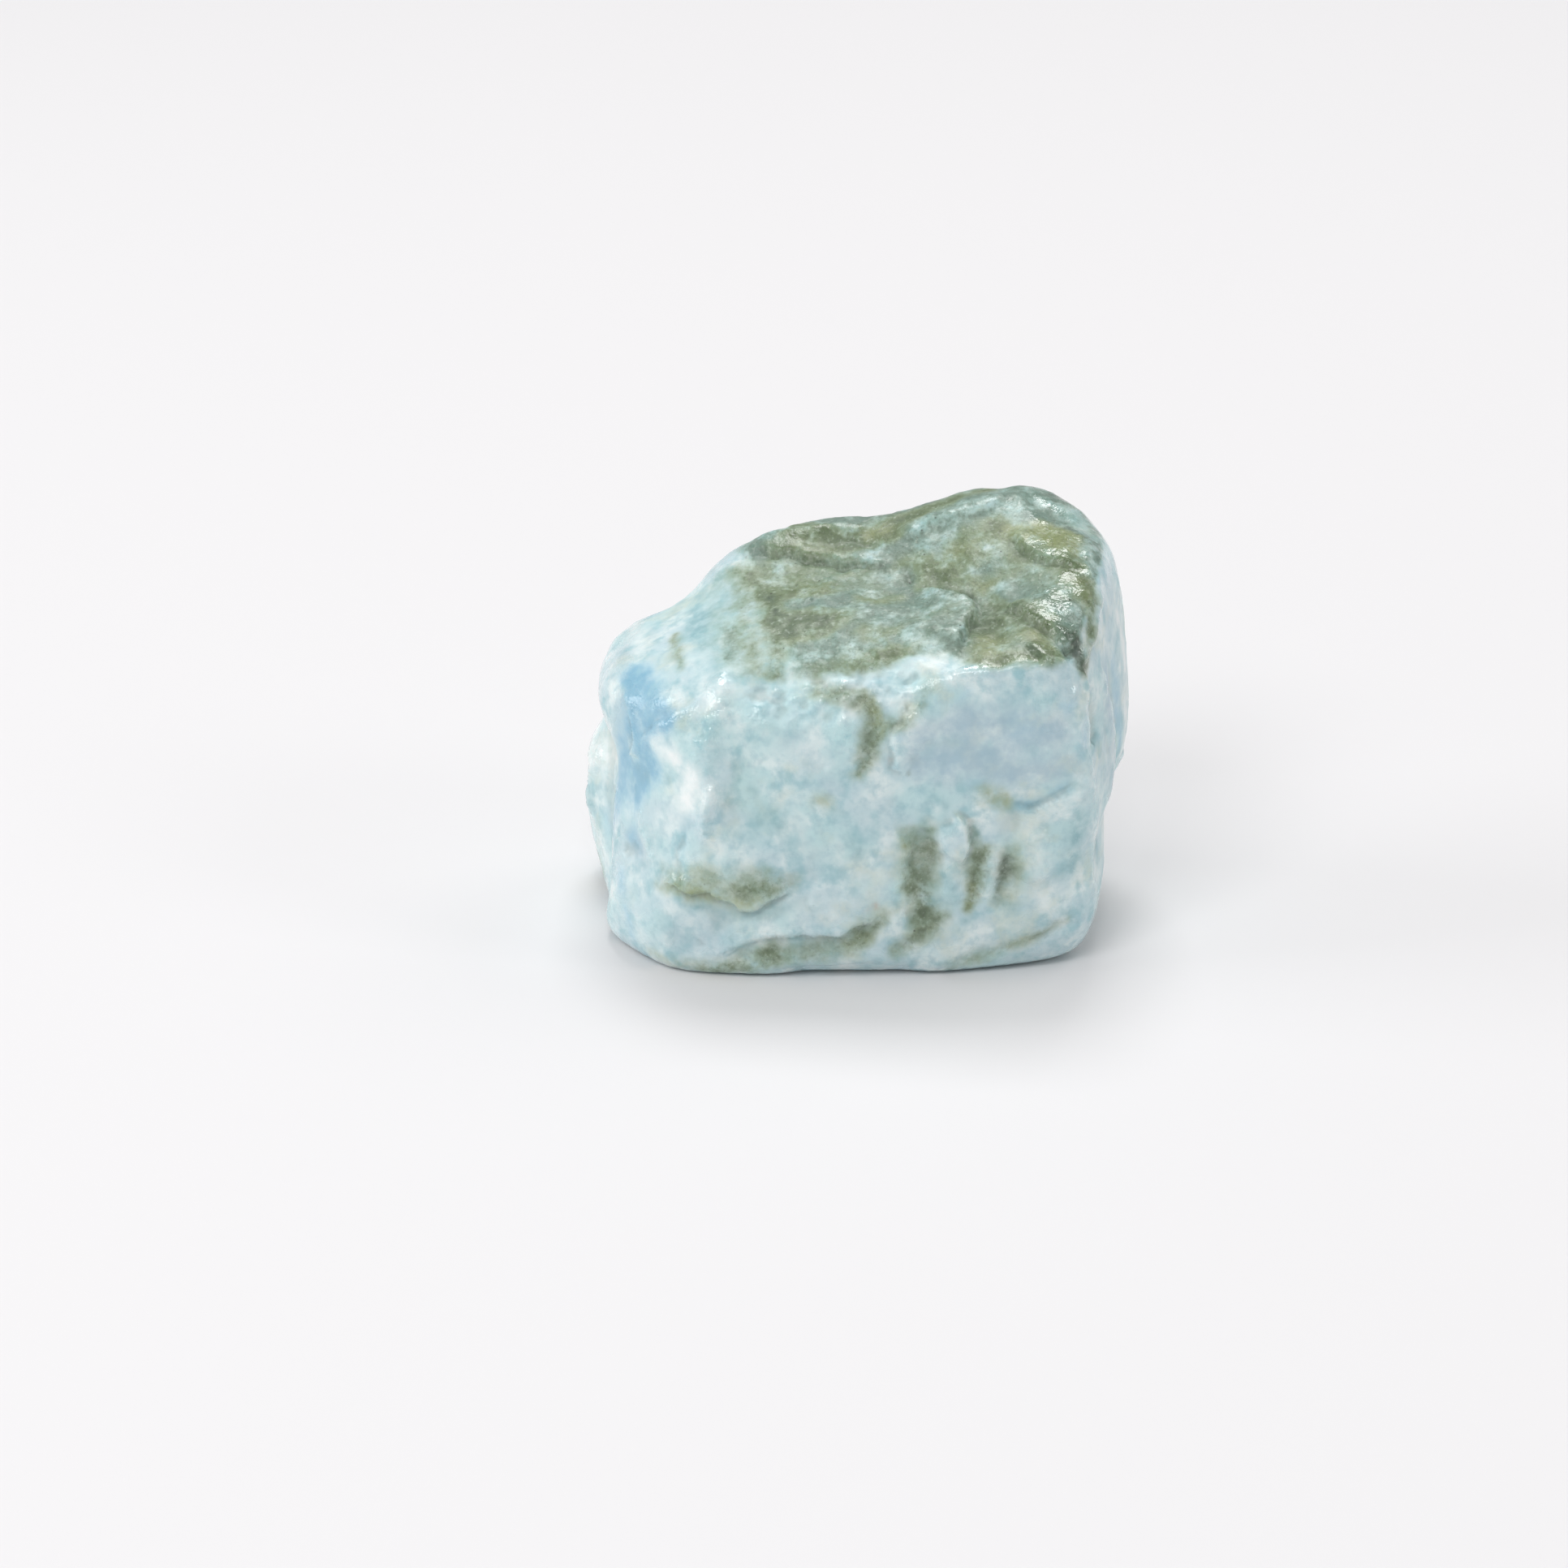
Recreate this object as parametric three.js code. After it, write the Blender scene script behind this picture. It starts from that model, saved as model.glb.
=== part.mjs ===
// A piece of raw larimar, tumbled just enough to round its edges: one solid stone, standing on its worn base.
// Millimetres, +X to the right, +Y to the back, +Z up. The origin is under the middle of the stone, on the surface
// that it stands on.
//
// The stone is modelled the way it was made. Fracture faces split it from its vein, so its rough block is the space
// inside a set of planes. Tumbling rounded their meeting edges, so the planes are blended instead of cut. What is
// left of the natural skin is then raised or hollowed locally, as swells and hollows along short lines.
import * as THREE from "three";

// ---- Driving dimensions -------------------------------------------------------------------------------------
const EDGE_SHARPNESS = 1.5; // per mm; a higher value leaves less rounding where two fracture faces meet
const HEART = new THREE.Vector3(0, 0, 10); // a point well inside, which sees the whole skin
const FURTHEST = 26; // mm from the heart, beyond every point of the skin
const MESH_DETAIL = 19; // 20 * (19 + 1)^2 = 8000 triangles
const SEARCH_STEPS = 40; // halvings in the search for the skin along one ray

// Fracture faces: the direction that each one looks in, and how far it stands from the origin along it.
const fractureFaces = [
  { name: "front_left_half", looks: [-0.1, -1, 0.1], out: 9.5 },
  { name: "front_right_half", looks: [0.14, -1, 0], out: 9.2 },
  { name: "front_right_toe", looks: [0.3, -0.75, -0.6], out: 8.5 },
  { name: "front_left_bevel", looks: [-0.76, -0.62, 0.1], out: 13.5 },
  { name: "left", looks: [-1, 0.06, 0], out: 15 },
  { name: "right", looks: [1, -0.24, 0.1], out: 14.4 },
  { name: "right_under", looks: [0.92, 0.04, -0.39], out: 10.6 },
  { name: "back_left_half", looks: [-0.2, 1, 0.12], out: 10.8 },
  { name: "back_right_half", looks: [0.16, 1, -0.04], out: 10.4 },
  { name: "back_right", looks: [0.75, 0.66, 0.05], out: 15.4 },
  { name: "back_left", looks: [-0.6, 0.78, 0.1], out: 15 },
  { name: "back_under", looks: [0.1, 0.8, -0.6], out: 6.8 },
  { name: "back_brow", looks: [-0.1, 0.75, 0.65], out: 20.4 },
  { name: "base", looks: [0, 0, -1], out: 0.2 },
  { name: "top", looks: [-0.15, -0.22, 1], out: 18.55 },
  { name: "top_left", looks: [-0.62, 0.02, 1], out: 19.4 },
  { name: "front_left_shoulder", looks: [-0.3, -0.6, 0.74], out: 18.4 },
  { name: "back_top_right", looks: [0.5, 0.1, 0.85], out: 25.2 },
  { name: "right_shoulder", looks: [0.85, 0.1, 0.5], out: 23.2 },
];

// Swells (height > 0) and hollows (height < 0) along the line between two points, fading out over their reach.
const swells = [
  { name: "back_left_lobe", from: [-13.4, 6, 7.5], to: [-13.4, 5.5, 4.5], reach: 2.6, height: 2.3 },
  { name: "low_left_lobe", from: [-13.6, 2, 3.4], to: [-13.4, 0.5, 2.8], reach: 1.5, height: 0.45 },
  { name: "left_waist", from: [-14.4, -0.5, 3], to: [-14.4, 0.5, 9], reach: 2.2, height: -1.3 },
  { name: "left_step", from: [-14.5, 5.5, 10.5], to: [-14.5, 1, 10.2], reach: 1.6, height: -0.9 },
  { name: "left_chip", from: [-13.5, -2.5, 11], to: [-13.5, -3, 9.5], reach: 1.8, height: -0.5 },
  { name: "left_shoulder", from: [-13, 5.5, 14], to: [-13, 1, 14.5], reach: 2.4, height: 0.7 },
  { name: "front_left_foot", from: [-12.8, -4.5, 2.4], to: [-11.6, -6.8, 2.2], reach: 2.4, height: 0.45 },
  { name: "front_belly", from: [-6, -9.5, 7.5], to: [-2, -9.5, 11], reach: 4, height: 0.35 },
  { name: "front_fold", from: [-10, -9, 3.4], to: [-4, -10, 3.2], reach: 1.5, height: -0.5 },
  { name: "front_valley", from: [1.6, -9.8, 12], to: [3.2, -9.8, 3.5], reach: 1.7, height: -0.55 },
  { name: "front_right_dip", from: [9.5, -8.5, 9], to: [11, -8, 5], reach: 2.5, height: -0.3 },
  { name: "right_notch", from: [14.3, 7, 6], to: [14.3, 0.5, 5.4], reach: 2.2, height: -0.9 },
  { name: "right_undercut", from: [14.4, -1, 7.6], to: [13.5, -5.4, 6], reach: 2.2, height: -0.75 },
  { name: "right_front_recess", from: [6, -5, 19], to: [11, -6, 19], reach: 3, height: -0.5 },
  { name: "top_trough", from: [-3, 4, 20], to: [6, -1, 19.5], reach: 2.6, height: -0.7 },
  { name: "back_crest", from: [-7, 6.5, 18.2], to: [-3, 7.5, 19.5], reach: 2.6, height: 0.9 },
  { name: "back_corner", from: [-6.4, 6.6, 18.2], to: [-5, 6.8, 18.8], reach: 1.5, height: 0.5 },
  { name: "peak", from: [6, 7, 21], to: [8.5, 7, 22], reach: 3, height: 0.6 },
  { name: "back_hollow", from: [-3, 10, 13], to: [1, 10, 8], reach: 3.6, height: -0.8 },
  { name: "back_cheek", from: [9, 9.5, 9], to: [7, 9.5, 13], reach: 3.4, height: 0.5 },
  { name: "back_left_scoop", from: [-11, 9, 11], to: [-8, 10, 12], reach: 2.2, height: -0.5 },
  { name: "base_arch", from: [-3, -9.4, -0.4], to: [1.3, -9.4, -0.4], reach: 1.3, height: -1.5 },
];

// ---- The skin -----------------------------------------------------------------------------------------------
const planes = fractureFaces.map(({ looks, out }) => ({ normal: new THREE.Vector3(...looks).normalize(), out }));
const reliefs = swells.map(({ from, to, reach, height }) => ({
  line: new THREE.Line3(new THREE.Vector3(...from), new THREE.Vector3(...to)),
  reach,
  height,
}));
const nearest = new THREE.Vector3();

// How far a point is outside the blended block: negative inside, zero on the skin.
function outside(point) {
  let sum = 0;
  for (const { normal, out } of planes) sum += Math.exp(EDGE_SHARPNESS * (normal.dot(point) - out));
  let distance = Math.log(sum) / EDGE_SHARPNESS;
  for (const { line, reach, height } of reliefs) {
    line.closestPointToPoint(point, true, nearest);
    distance -= height * Math.exp(-nearest.distanceToSquared(point) / reach ** 2);
  }
  return distance;
}

// The point of the skin that a ray from the heart meets.
function skinAlong(direction) {
  let near = 0;
  let far = FURTHEST;
  const point = new THREE.Vector3();
  for (let i = 0; i < SEARCH_STEPS; i++) {
    const middle = (near + far) / 2;
    point.copy(direction).multiplyScalar(middle).add(HEART);
    if (outside(point) > 0) far = middle;
    else near = middle;
  }
  return point;
}

function stoneGeometry() {
  const geometry = new THREE.IcosahedronGeometry(1, MESH_DETAIL);
  geometry.deleteAttribute("normal");
  geometry.deleteAttribute("uv");
  const position = geometry.getAttribute("position");
  const direction = new THREE.Vector3();
  for (let i = 0; i < position.count; i++) {
    const point = skinAlong(direction.fromBufferAttribute(position, i).normalize());
    position.setXYZ(i, point.x, point.y, Math.max(point.z, 0)); // the worn base is flat
  }
  // Stands the stone on the origin, middle over it.
  geometry.computeBoundingBox();
  const { min, max } = geometry.boundingBox;
  geometry.translate(-(min.x + max.x) / 2, -(min.y + max.y) / 2, -min.z);
  geometry.computeVertexNormals();
  return geometry;
}

const larimar = new THREE.MeshStandardMaterial({ color: "#bcd3d6", roughness: 0.22, metalness: 0 });
const stone = new THREE.Mesh(stoneGeometry(), larimar);
stone.name = "larimar_stone";

const part = new THREE.Group();
part.add(stone);
export default part;
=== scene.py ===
# %% [markdown]
# # A piece of raw larimar
#
# Larimar is blue pectolite: a compact, fibrous mineral that filled gas pockets in lava. This piece was
# broken from its vein, then tumbled just enough to round its edges and give it a wet-looking shine. It is
# one solid, so the model is one mesh. The lesson has three parts: the stage, the shape of the skin, and its
# colours.
#
# The imported model is loaded first. It gives the size and place of the stone, in metres, and nothing below
# moves or resizes it. Its box is kept, and the finished mesh is fitted into it.

# %% Load the imported stone
import math

import bmesh
import bpy
import numpy as np
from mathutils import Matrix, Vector, noise
from mathutils.bvhtree import BVHTree


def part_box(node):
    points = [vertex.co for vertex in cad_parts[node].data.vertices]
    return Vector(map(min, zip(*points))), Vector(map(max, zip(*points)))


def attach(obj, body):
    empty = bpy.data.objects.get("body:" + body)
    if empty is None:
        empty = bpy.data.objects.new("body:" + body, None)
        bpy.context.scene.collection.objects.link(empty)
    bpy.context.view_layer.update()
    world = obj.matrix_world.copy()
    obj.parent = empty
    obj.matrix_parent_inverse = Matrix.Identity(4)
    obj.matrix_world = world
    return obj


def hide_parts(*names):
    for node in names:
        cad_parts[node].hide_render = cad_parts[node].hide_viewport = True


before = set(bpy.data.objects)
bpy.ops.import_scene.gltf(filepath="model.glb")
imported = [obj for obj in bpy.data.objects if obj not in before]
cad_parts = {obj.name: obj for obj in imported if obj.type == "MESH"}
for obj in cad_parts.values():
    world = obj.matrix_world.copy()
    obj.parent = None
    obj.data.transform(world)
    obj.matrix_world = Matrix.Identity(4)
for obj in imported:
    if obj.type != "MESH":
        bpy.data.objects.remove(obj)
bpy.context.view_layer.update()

MM = 0.001
NODE = "larimar_stone"
low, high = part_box(NODE)
size = (high - low) / MM
print(f"stone: {size.x:.1f} x {size.y:.1f} x {size.z:.1f} mm")

# %% [markdown]
# ## Camera
#
# A small stone is best shown the way a jeweller shows it: a long lens, a little above the table. A long
# lens flattens perspective, so the front and the top both read at their true proportions. The camera looks
# at a point near the middle of the stone, from in front and 25 degrees up.

# %% Camera
LENS = 100.0
DISTANCE = 240 * MM
ELEVATION = math.radians(25)
look_at = Vector((-4.0, 0.0, 7.5)) * MM

camera_data = bpy.data.cameras.new("camera")
camera_data.lens = LENS
camera_data.clip_start = 10 * MM
camera = bpy.data.objects.new("camera", camera_data)
bpy.context.scene.collection.objects.link(camera)
away = Vector((0, -math.cos(ELEVATION), math.sin(ELEVATION)))
camera.location = look_at + away * DISTANCE
camera.rotation_euler = away.to_track_quat("Z", "Y").to_euler()
bpy.context.scene.camera = camera
print(f"camera: {LENS:.0f} mm lens at {DISTANCE / MM:.0f} mm")

# %% [markdown]
# ## Table and light
#
# The stage is a plain white table top in a bright room. Soft lamps stand round the stone, each given by its
# bearing, its height and its width. The strongest stands high behind it, so the shadow falls towards the
# front. The key and the side lamp light the front from the left. Two small windows, in front and on the
# right, are there only for the glints on the knobs. White surroundings fill the rest.

# %% Table
TABLE_WIDTH = 6.0


def plain_material(name, colour, roughness):
    """A material of one colour, for things that aren't part of the stone."""
    material = bpy.data.materials.new(name)
    material.use_nodes = True
    shader = material.node_tree.nodes["Principled BSDF"]
    shader.inputs["Base Color"].default_value = (*colour, 1)
    shader.inputs["Roughness"].default_value = roughness
    return material


bpy.ops.mesh.primitive_plane_add(size=TABLE_WIDTH)
table = bpy.context.object
table.name = "table"
table.data.materials.append(plain_material("white_paper", colour=(0.80, 0.79, 0.80), roughness=0.9))
print(f"table: {TABLE_WIDTH:.0f} m across")

# %% Lamps
LAMP_DISTANCE = 600 * MM
lamps = [
    # name, bearing, height, width in metres, watts
    ("overhead", 0, 64, 0.22, 1.42),
    ("key", -148, 45, 0.24, 1.02),
    ("side", -90, 20, 0.30, 1.05),
    ("fill", 60, 45, 0.30, 0.38),
    ("front_window", 180, 56, 0.12, 0.30),
    ("right_window", 108, 28, 0.14, 0.30),
]


def add_lamp(name, bearing, height, width, watts):
    """A square lamp: bearing in degrees clockwise from the back, height in degrees above the table."""
    turn = math.radians(bearing)
    rise = math.radians(height)
    direction = Vector((math.sin(turn) * math.cos(rise), math.cos(turn) * math.cos(rise), math.sin(rise)))
    data = bpy.data.lights.new(name, "AREA")
    data.shape = "SQUARE"
    data.size = width
    data.energy = watts
    lamp = bpy.data.objects.new(name, data)
    lamp.location = look_at + direction * LAMP_DISTANCE
    lamp.rotation_euler = direction.to_track_quat("Z", "Y").to_euler()
    lamp.visible_camera = False
    bpy.context.scene.collection.objects.link(lamp)


for lamp in lamps:
    add_lamp(*lamp)
print(f"{len(lamps)} lamps")

# %% Surroundings
ROOM_BRIGHTNESS = 0.36

world = bpy.data.worlds.new("room")
world.use_nodes = True
background = world.node_tree.nodes["Background"]
background.inputs["Color"].default_value = (1, 1, 1, 1)
background.inputs["Strength"].default_value = ROOM_BRIGHTNESS
bpy.context.scene.world = world
bpy.context.scene.view_settings.view_transform = "Standard"
print(f"white room at {ROOM_BRIGHTNESS}")

# %% [markdown]
# ## A mesh fine enough for the skin
#
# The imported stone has 8000 triangles, enough to hold and to stand it, but too coarse for its ledges and
# pits. A copy is welded and subdivided twice with a Subdivision Surface, which rounds the facets and keeps
# the stone's shape. The result is 96,000 four-sided faces, about a sixth of a millimetre wide.

# %% Fine mesh
SUBDIVISIONS = 2
WELD = 0.001 * MM


def welded_copy(source, name):
    """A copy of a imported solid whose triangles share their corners."""
    mesh = source.data.copy()
    mesh.name = name
    mesh.materials.clear()
    work = bmesh.new()
    work.from_mesh(mesh)
    bmesh.ops.remove_doubles(work, verts=work.verts, dist=WELD)
    work.to_mesh(mesh)
    work.free()
    copy = bpy.data.objects.new(name, mesh)
    bpy.context.scene.collection.objects.link(copy)
    return copy


def subdivided(piece, levels):
    """Subdivides a piece smoothly, for good."""
    modifier = piece.modifiers.new("subdivide", "SUBSURF")
    modifier.levels = levels
    view_layer = bpy.context.view_layer
    view_layer.update()
    fine = bpy.data.meshes.new_from_object(piece.evaluated_get(view_layer.depsgraph))
    piece.modifiers.clear()
    piece.data = fine
    return piece


def corners_of(mesh):
    """The corners of a mesh in millimetres."""
    flat = np.empty(len(mesh.vertices) * 3)
    mesh.vertices.foreach_get("co", flat)
    return flat.reshape(-1, 3) / MM


def normals_of(mesh):
    """The direction that each corner faces."""
    flat = np.empty(len(mesh.vertices) * 3)
    mesh.vertex_normals.foreach_get("vector", flat)
    return flat.reshape(-1, 3)


stone = subdivided(welded_copy(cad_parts[NODE], "raw_larimar"), SUBDIVISIONS)
skin = corners_of(stone.data)
facing = normals_of(stone.data)
print(f"fine mesh: {len(skin)} corners, {len(stone.data.polygons)} faces")

# %% [markdown]
# ## Places on the stone
#
# Ledges, cracks and colours each have a place. A place is easiest to give on a drawing of one side, seen
# square on: across and up, in millimetres. `on_stone` drops such a line onto the skin from its side, so the
# same words work for relief and for colour. Nature draws no straight line, so every corner of the skin is
# also shifted a little by smooth noise before anything is measured: all the marks then have ragged borders.

# %% Six drawings
FAR = 60  # mm, well clear of the stone
SIDES = {
    # side: where the ray through a point of its drawing starts, and which way it goes
    "front": lambda across, up: ((across, -FAR, up), (0, 1, 0)),
    "back": lambda across, up: ((across, FAR, up), (0, -1, 0)),
    "left": lambda across, up: ((-FAR, across, up), (1, 0, 0)),
    "right": lambda across, up: ((FAR, across, up), (-1, 0, 0)),
    "top": lambda across, up: ((across, up, FAR), (0, 0, -1)),
    "under": lambda across, up: ((across, up, -FAR), (0, 0, 1)),
}
skin_tree = BVHTree.FromPolygons(skin.tolist(), [tuple(face.vertices) for face in stone.data.polygons])


def on_stone(side, points):
    """Points drawn on a side, as places and normals on the skin."""
    places = []
    normals = []
    for across, up in points:
        start, direction = SIDES[side](across, up)
        place, normal, _, _ = skin_tree.ray_cast(Vector(start), Vector(direction))
        if place is None:
            raise ValueError(f"({across}, {up}) is beside the stone, seen from its {side}")
        places.append(np.array(place))
        normals.append(np.array(normal))
    return places, normals


print(f"sides: {', '.join(SIDES)}")

# %% Ragged borders


def lumps(points, width, depth=2, seed=0.0):
    """Smooth noise, about -1 to 1, whose lumps are `width` mm across. Each step of depth is half as wide."""
    shift = Vector((seed, -seed, 2 * seed))
    return np.array([noise.fractal(Vector(p) / width + shift, 1.0, 2.0, depth) for p in points])


def drift(points, width, reach, seed=0.0):
    """Smooth random shifts of up to about `reach` mm, which change over `width` mm."""
    shift = Vector((seed, seed, -seed))
    moves = np.array([noise.noise_vector(Vector(p) / width + shift) for p in points])
    return moves * reach


noise.seed_set(1)  # without a seed, the clock shifts this noise
ragged = skin
for width, reach, seed in [(2.6, 0.20, 3.1), (1.0, 0.25, 7.7), (0.45, 0.10, 4.2)]:
    ragged = ragged + drift(skin, width, reach, seed)
print(f"borders wander by up to {np.linalg.norm(ragged - skin, axis=1).max():.2f} mm")

# %% [markdown]
# ## Measuring from a line
#
# Four numbers say where a corner of the skin is, seen from a line: how far away it is, how far along the
# line its nearest point is, on which side it lies, and how far in from the nearer end. They are all that a
# ledge, a groove or a stain needs.

# %% From a line


def eased(t):
    """0 below 0, 1 above 1, and a smooth rise between them."""
    t = np.clip(t, 0, 1)
    return t * t * (3 - 2 * t)


def from_line(side, line):
    """Distance to a line on the skin, place along it, signed distance to its left, and how far in it is.

    The place runs from 0 to 1. How far in is 0 past an end, and a share of the line's length beside the line.
    """
    places, normals = on_stone(side, line)
    lengths = [np.linalg.norm(b - a) for a, b in zip(places, places[1:])]
    total = sum(lengths)
    distance = np.full(len(ragged), np.inf)
    along = np.zeros(len(ragged))
    beside = np.zeros(len(ragged))
    walked = 0.0
    for start, end, normal, length in zip(places, places[1:], normals, lengths):
        direction = (end - start) / length
        left = np.cross(normal, direction)
        offset = ragged - start
        t = np.clip(offset @ direction, 0, length)
        gap = np.linalg.norm(offset - t[:, None] * direction, axis=1)
        closer = gap < distance
        distance[closer] = gap[closer]
        along[closer] = (walked + t[closer]) / total
        beside[closer] = (offset @ left)[closer]
        walked += length
    to_start = np.linalg.norm(ragged - places[0], axis=1)
    to_end = np.linalg.norm(ragged - places[-1], axis=1)
    return distance, along, beside, (np.minimum(to_start, to_end) - distance) / total


print("lines can be measured from")

# %% [markdown]
# ## Ledges, folds and cracks
#
# Pectolite grows in fibres, so it splits in thin plates. On this stone the plates show as ledges: the skin
# steps up sharply on one side of a line and slopes gently back down behind it. Sculpting would make them
# too, but lines with a height and a width can be read, moved and checked. Each ledge below rises on the
# left of its line, as one walks along it. A fold is a rounded ridge (height above 0) or a groove (below 0).

# %% Ledges
ledges = [
    # side, height in mm, how far back it slopes down in mm, line
    # the thick plate on top, which ends above the front right recess
    ("top", 0.55, 3.0, [(5.4, -7.0), (5.3, -6.2), (5.4, -5.3), (6.0, -4.5), (6.4, -3.2), (5.9, -1.6),
                        (4.8, -0.6), (2.9, 0.4)]),
    # the plate behind the recess, and a thin one in front of it
    ("top", 0.42, 2.2, [(7.6, -2.6), (8.7, -4.0), (9.5, -5.0), (10.2, -5.9), (11.4, -7.0)]),
    ("top", 0.20, 0.8, [(8.6, -6.5), (9.1, -7.2), (10.0, -7.7)]),
    # the yellow plate under the peak
    ("top", 0.38, 2.4, [(8.2, 3.0), (8.7, 2.2), (9.1, 1.2), (9.8, 0.4), (10.7, -0.3), (12.2, -1.1)]),
    # the back ridge, which rises behind the olive plate
    ("top", 0.26, 1.8, [(-7.0, 5.3), (-4.9, 4.7), (-3.8, 4.5), (-2.6, 4.0), (-1.1, 3.3), (0.1, 2.9),
                        (2.2, 2.2)]),
    # a thin plate within the olive
    ("top", 0.10, 1.2, [(-3.2, -0.8), (-1.8, 0.5), (-1.2, 1.7), (-1.8, 2.6)]),
    # the lip over the low left fold
    ("front", 0.42, 1.6, [(-10.8, 5.3), (-9.6, 5.3), (-9.0, 5.0), (-8.0, 5.3), (-7.2, 4.8), (-6.4, 4.2),
                          (-5.3, 4.4), (-3.2, 5.9)]),
    # the lip over the bottom band
    ("front", 0.26, 1.6, [(-8.0, 1.0), (-6.7, 1.8), (-5.4, 2.4), (-3.4, 2.7), (-1.4, 2.9), (0.1, 3.3),
                          (1.5, 4.1)]),
    # the plate that forms the right half of the front, and the bulge below it
    ("front", 0.16, 2.6, [(3.4, 16.9), (2.6, 15.7), (1.9, 14.8), (1.7, 13.9), (2.0, 12.7), (2.7, 12.0)]),
    ("front", 0.24, 1.6, [(11.9, 11.5), (11.2, 10.9), (10.1, 10.1), (9.2, 9.9), (8.0, 10.1)]),
    ("front", 0.34, 1.4, [(5.7, 6.4), (6.1, 8.0), (5.8, 9.1), (5.1, 10.2)]),
    # chips on the left bevel
    ("front", 0.20, 1.0, [(-12.7, 14.4), (-12.3, 13.0), (-12.1, 12.0), (-12.4, 10.8)]),
    ("front", 0.16, 1.8, [(-8.2, 15.8), (-9.3, 15.0), (-10.6, 13.8), (-11.9, 12.2)]),
    # plates of the back and the sides
    ("back", 0.24, 2.2, [(5.6, 15.2), (3.8, 14.2), (2.2, 12.4), (1.8, 10.2), (2.6, 8.4)]),
    ("back", 0.28, 1.8, [(-9.2, 6.4), (-7.0, 5.6), (-5.4, 4.2), (-3.2, 3.6), (-0.6, 4.6)]),
    ("back", 0.26, 1.6, [(-8.6, 14.4), (-6.2, 15.4), (-3.6, 14.8), (-1.4, 15.8)]),
    ("back", 0.24, 1.4, [(6.0, 3.0), (7.8, 4.2), (9.6, 3.8), (11.2, 5.2)]),
    ("right", 0.26, 1.6, [(5.6, 15.0), (4.6, 13.2), (5.2, 11.0), (4.0, 9.2)]),
    ("left", 0.24, 1.4, [(4.6, 8.6), (3.2, 7.2), (3.6, 5.4), (2.2, 4.0)]),
]
print(f"{len(ledges)} ledges drawn")

# %% How a ledge lifts the skin
LEDGE_RISE = 0.32  # mm from the foot of a ledge to its lip
FOOT_WIDTH = 0.30  # mm, the worn groove along the foot of a ledge
FOOT_DEPTH = 0.4  # of the ledge's height
LEDGE_ENDS = 0.15  # of the ledge's length, over which it dies away at each end


def ledge_lift(side, height, slope, line):
    """How much a ledge raises each corner, in mm."""
    distance, _, beside, inward = from_line(side, line)
    rise = eased(beside / LEDGE_RISE + 0.5)
    behind = np.exp(-((distance / slope) ** 2))
    foot = np.exp(-((distance / FOOT_WIDTH) ** 2)) * (1 - rise)
    tapered = eased(inward / LEDGE_ENDS)
    return height * (rise * behind - FOOT_DEPTH * foot) * tapered


ledge_relief = sum(ledge_lift(*ledge) for ledge in ledges)
print(f"ledges up to {ledge_relief.max():.2f} mm high")

# %% Folds along the rims, and small knobs
folds = [
    # side, height in mm, half width in mm, line
    # the sharp upper edge of the front, and the one between the front and the right side
    ("front", 0.24, 0.40, [(4.6, 17.5), (6.0, 17.6), (7.4, 17.7), (8.8, 17.9), (10.0, 18.0), (11.2, 17.8)]),
    ("front", 0.26, 0.38, [(11.3, 17.6), (11.9, 16.9), (12.0, 15.7), (11.5, 14.4), (11.6, 13.2),
                           (12.1, 12.0), (12.5, 9.8)]),
    ("front", 0.14, 0.60, [(12.5, 9.8), (12.6, 7.0), (12.6, 4.6)]),
    ("top", 0.22, 0.36, [(13.0, -1.2), (12.8, -2.8), (12.5, -4.2), (12.0, -5.6), (11.7, -6.6)]),
    # small knobs that catch the light
    ("front", 0.22, 0.45, [(-7.4, 16.4), (-7.2, 15.2)]),
    ("front", 0.20, 0.38, [(-7.8, 14.5), (-8.3, 13.0)]),
    ("front", 0.20, 0.38, [(-8.0, 11.4), (-8.0, 9.7), (-8.5, 8.3)]),
    ("top", 0.24, 0.42, [(11.2, -5.2), (11.6, -5.6)]),
    ("front", 0.18, 0.50, [(11.0, 16.6), (11.3, 16.2)]),
    ("front", 0.22, 0.45, [(11.8, 11.1), (11.9, 10.2)]),
    # pockets of the right side, and its wavy ribs
    ("right", -0.34, 0.55, [(-6.6, 15.4), (-6.5, 14.0), (-6.6, 12.8)]),
    ("right", 0.22, 1.20, [(-4.4, 16.8), (-3.2, 12.0), (-4.0, 7.0)]),
    ("right", -0.24, 1.00, [(-1.6, 14.0), (-1.2, 10.0)]),
]
print(f"{len(folds)} folds so far")

# %% Folds and cracks of the top
folds += [
    # the crack at the foot of the back ridge, and the ridge that climbs to the peak
    ("top", -0.16, 0.35, [(-7.0, 5.0), (-5.0, 4.6), (-2.2, 3.8), (0.6, 2.6)]),
    ("top", 0.30, 0.80, [(2.2, 4.4), (4.4, 4.9), (7.0, 5.4), (8.6, 5.6)]),
    ("top", 0.18, 0.55, [(-4.6, 6.2), (-2.0, 5.9), (0.8, 5.6)]),
    ("top", -0.14, 0.40, [(-3.4, 5.2), (-0.6, 4.7), (1.6, 4.0)]),
    ("top", -0.20, 0.35, [(2.2, 2.1), (2.8, 1.8), (2.9, 0.7)]),
    ("top", -0.22, 0.50, [(9.4, 5.6), (10.3, 4.7), (11.9, 4.1)]),
    ("top", 0.16, 0.60, [(11.7, 3.4), (12.5, 1.7), (12.6, -0.2)]),
    # the recess at the front right, with its almost black corner
    ("top", -0.28, 1.10, [(7.2, -3.4), (6.9, -5.6)]),
    ("top", -0.40, 0.50, [(10.8, -6.4), (11.4, -6.8)]),
    ("top", 0.16, 0.50, [(7.7, -1.2), (8.1, -2.4)]),
]
print(f"{len(folds)} folds so far")

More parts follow.
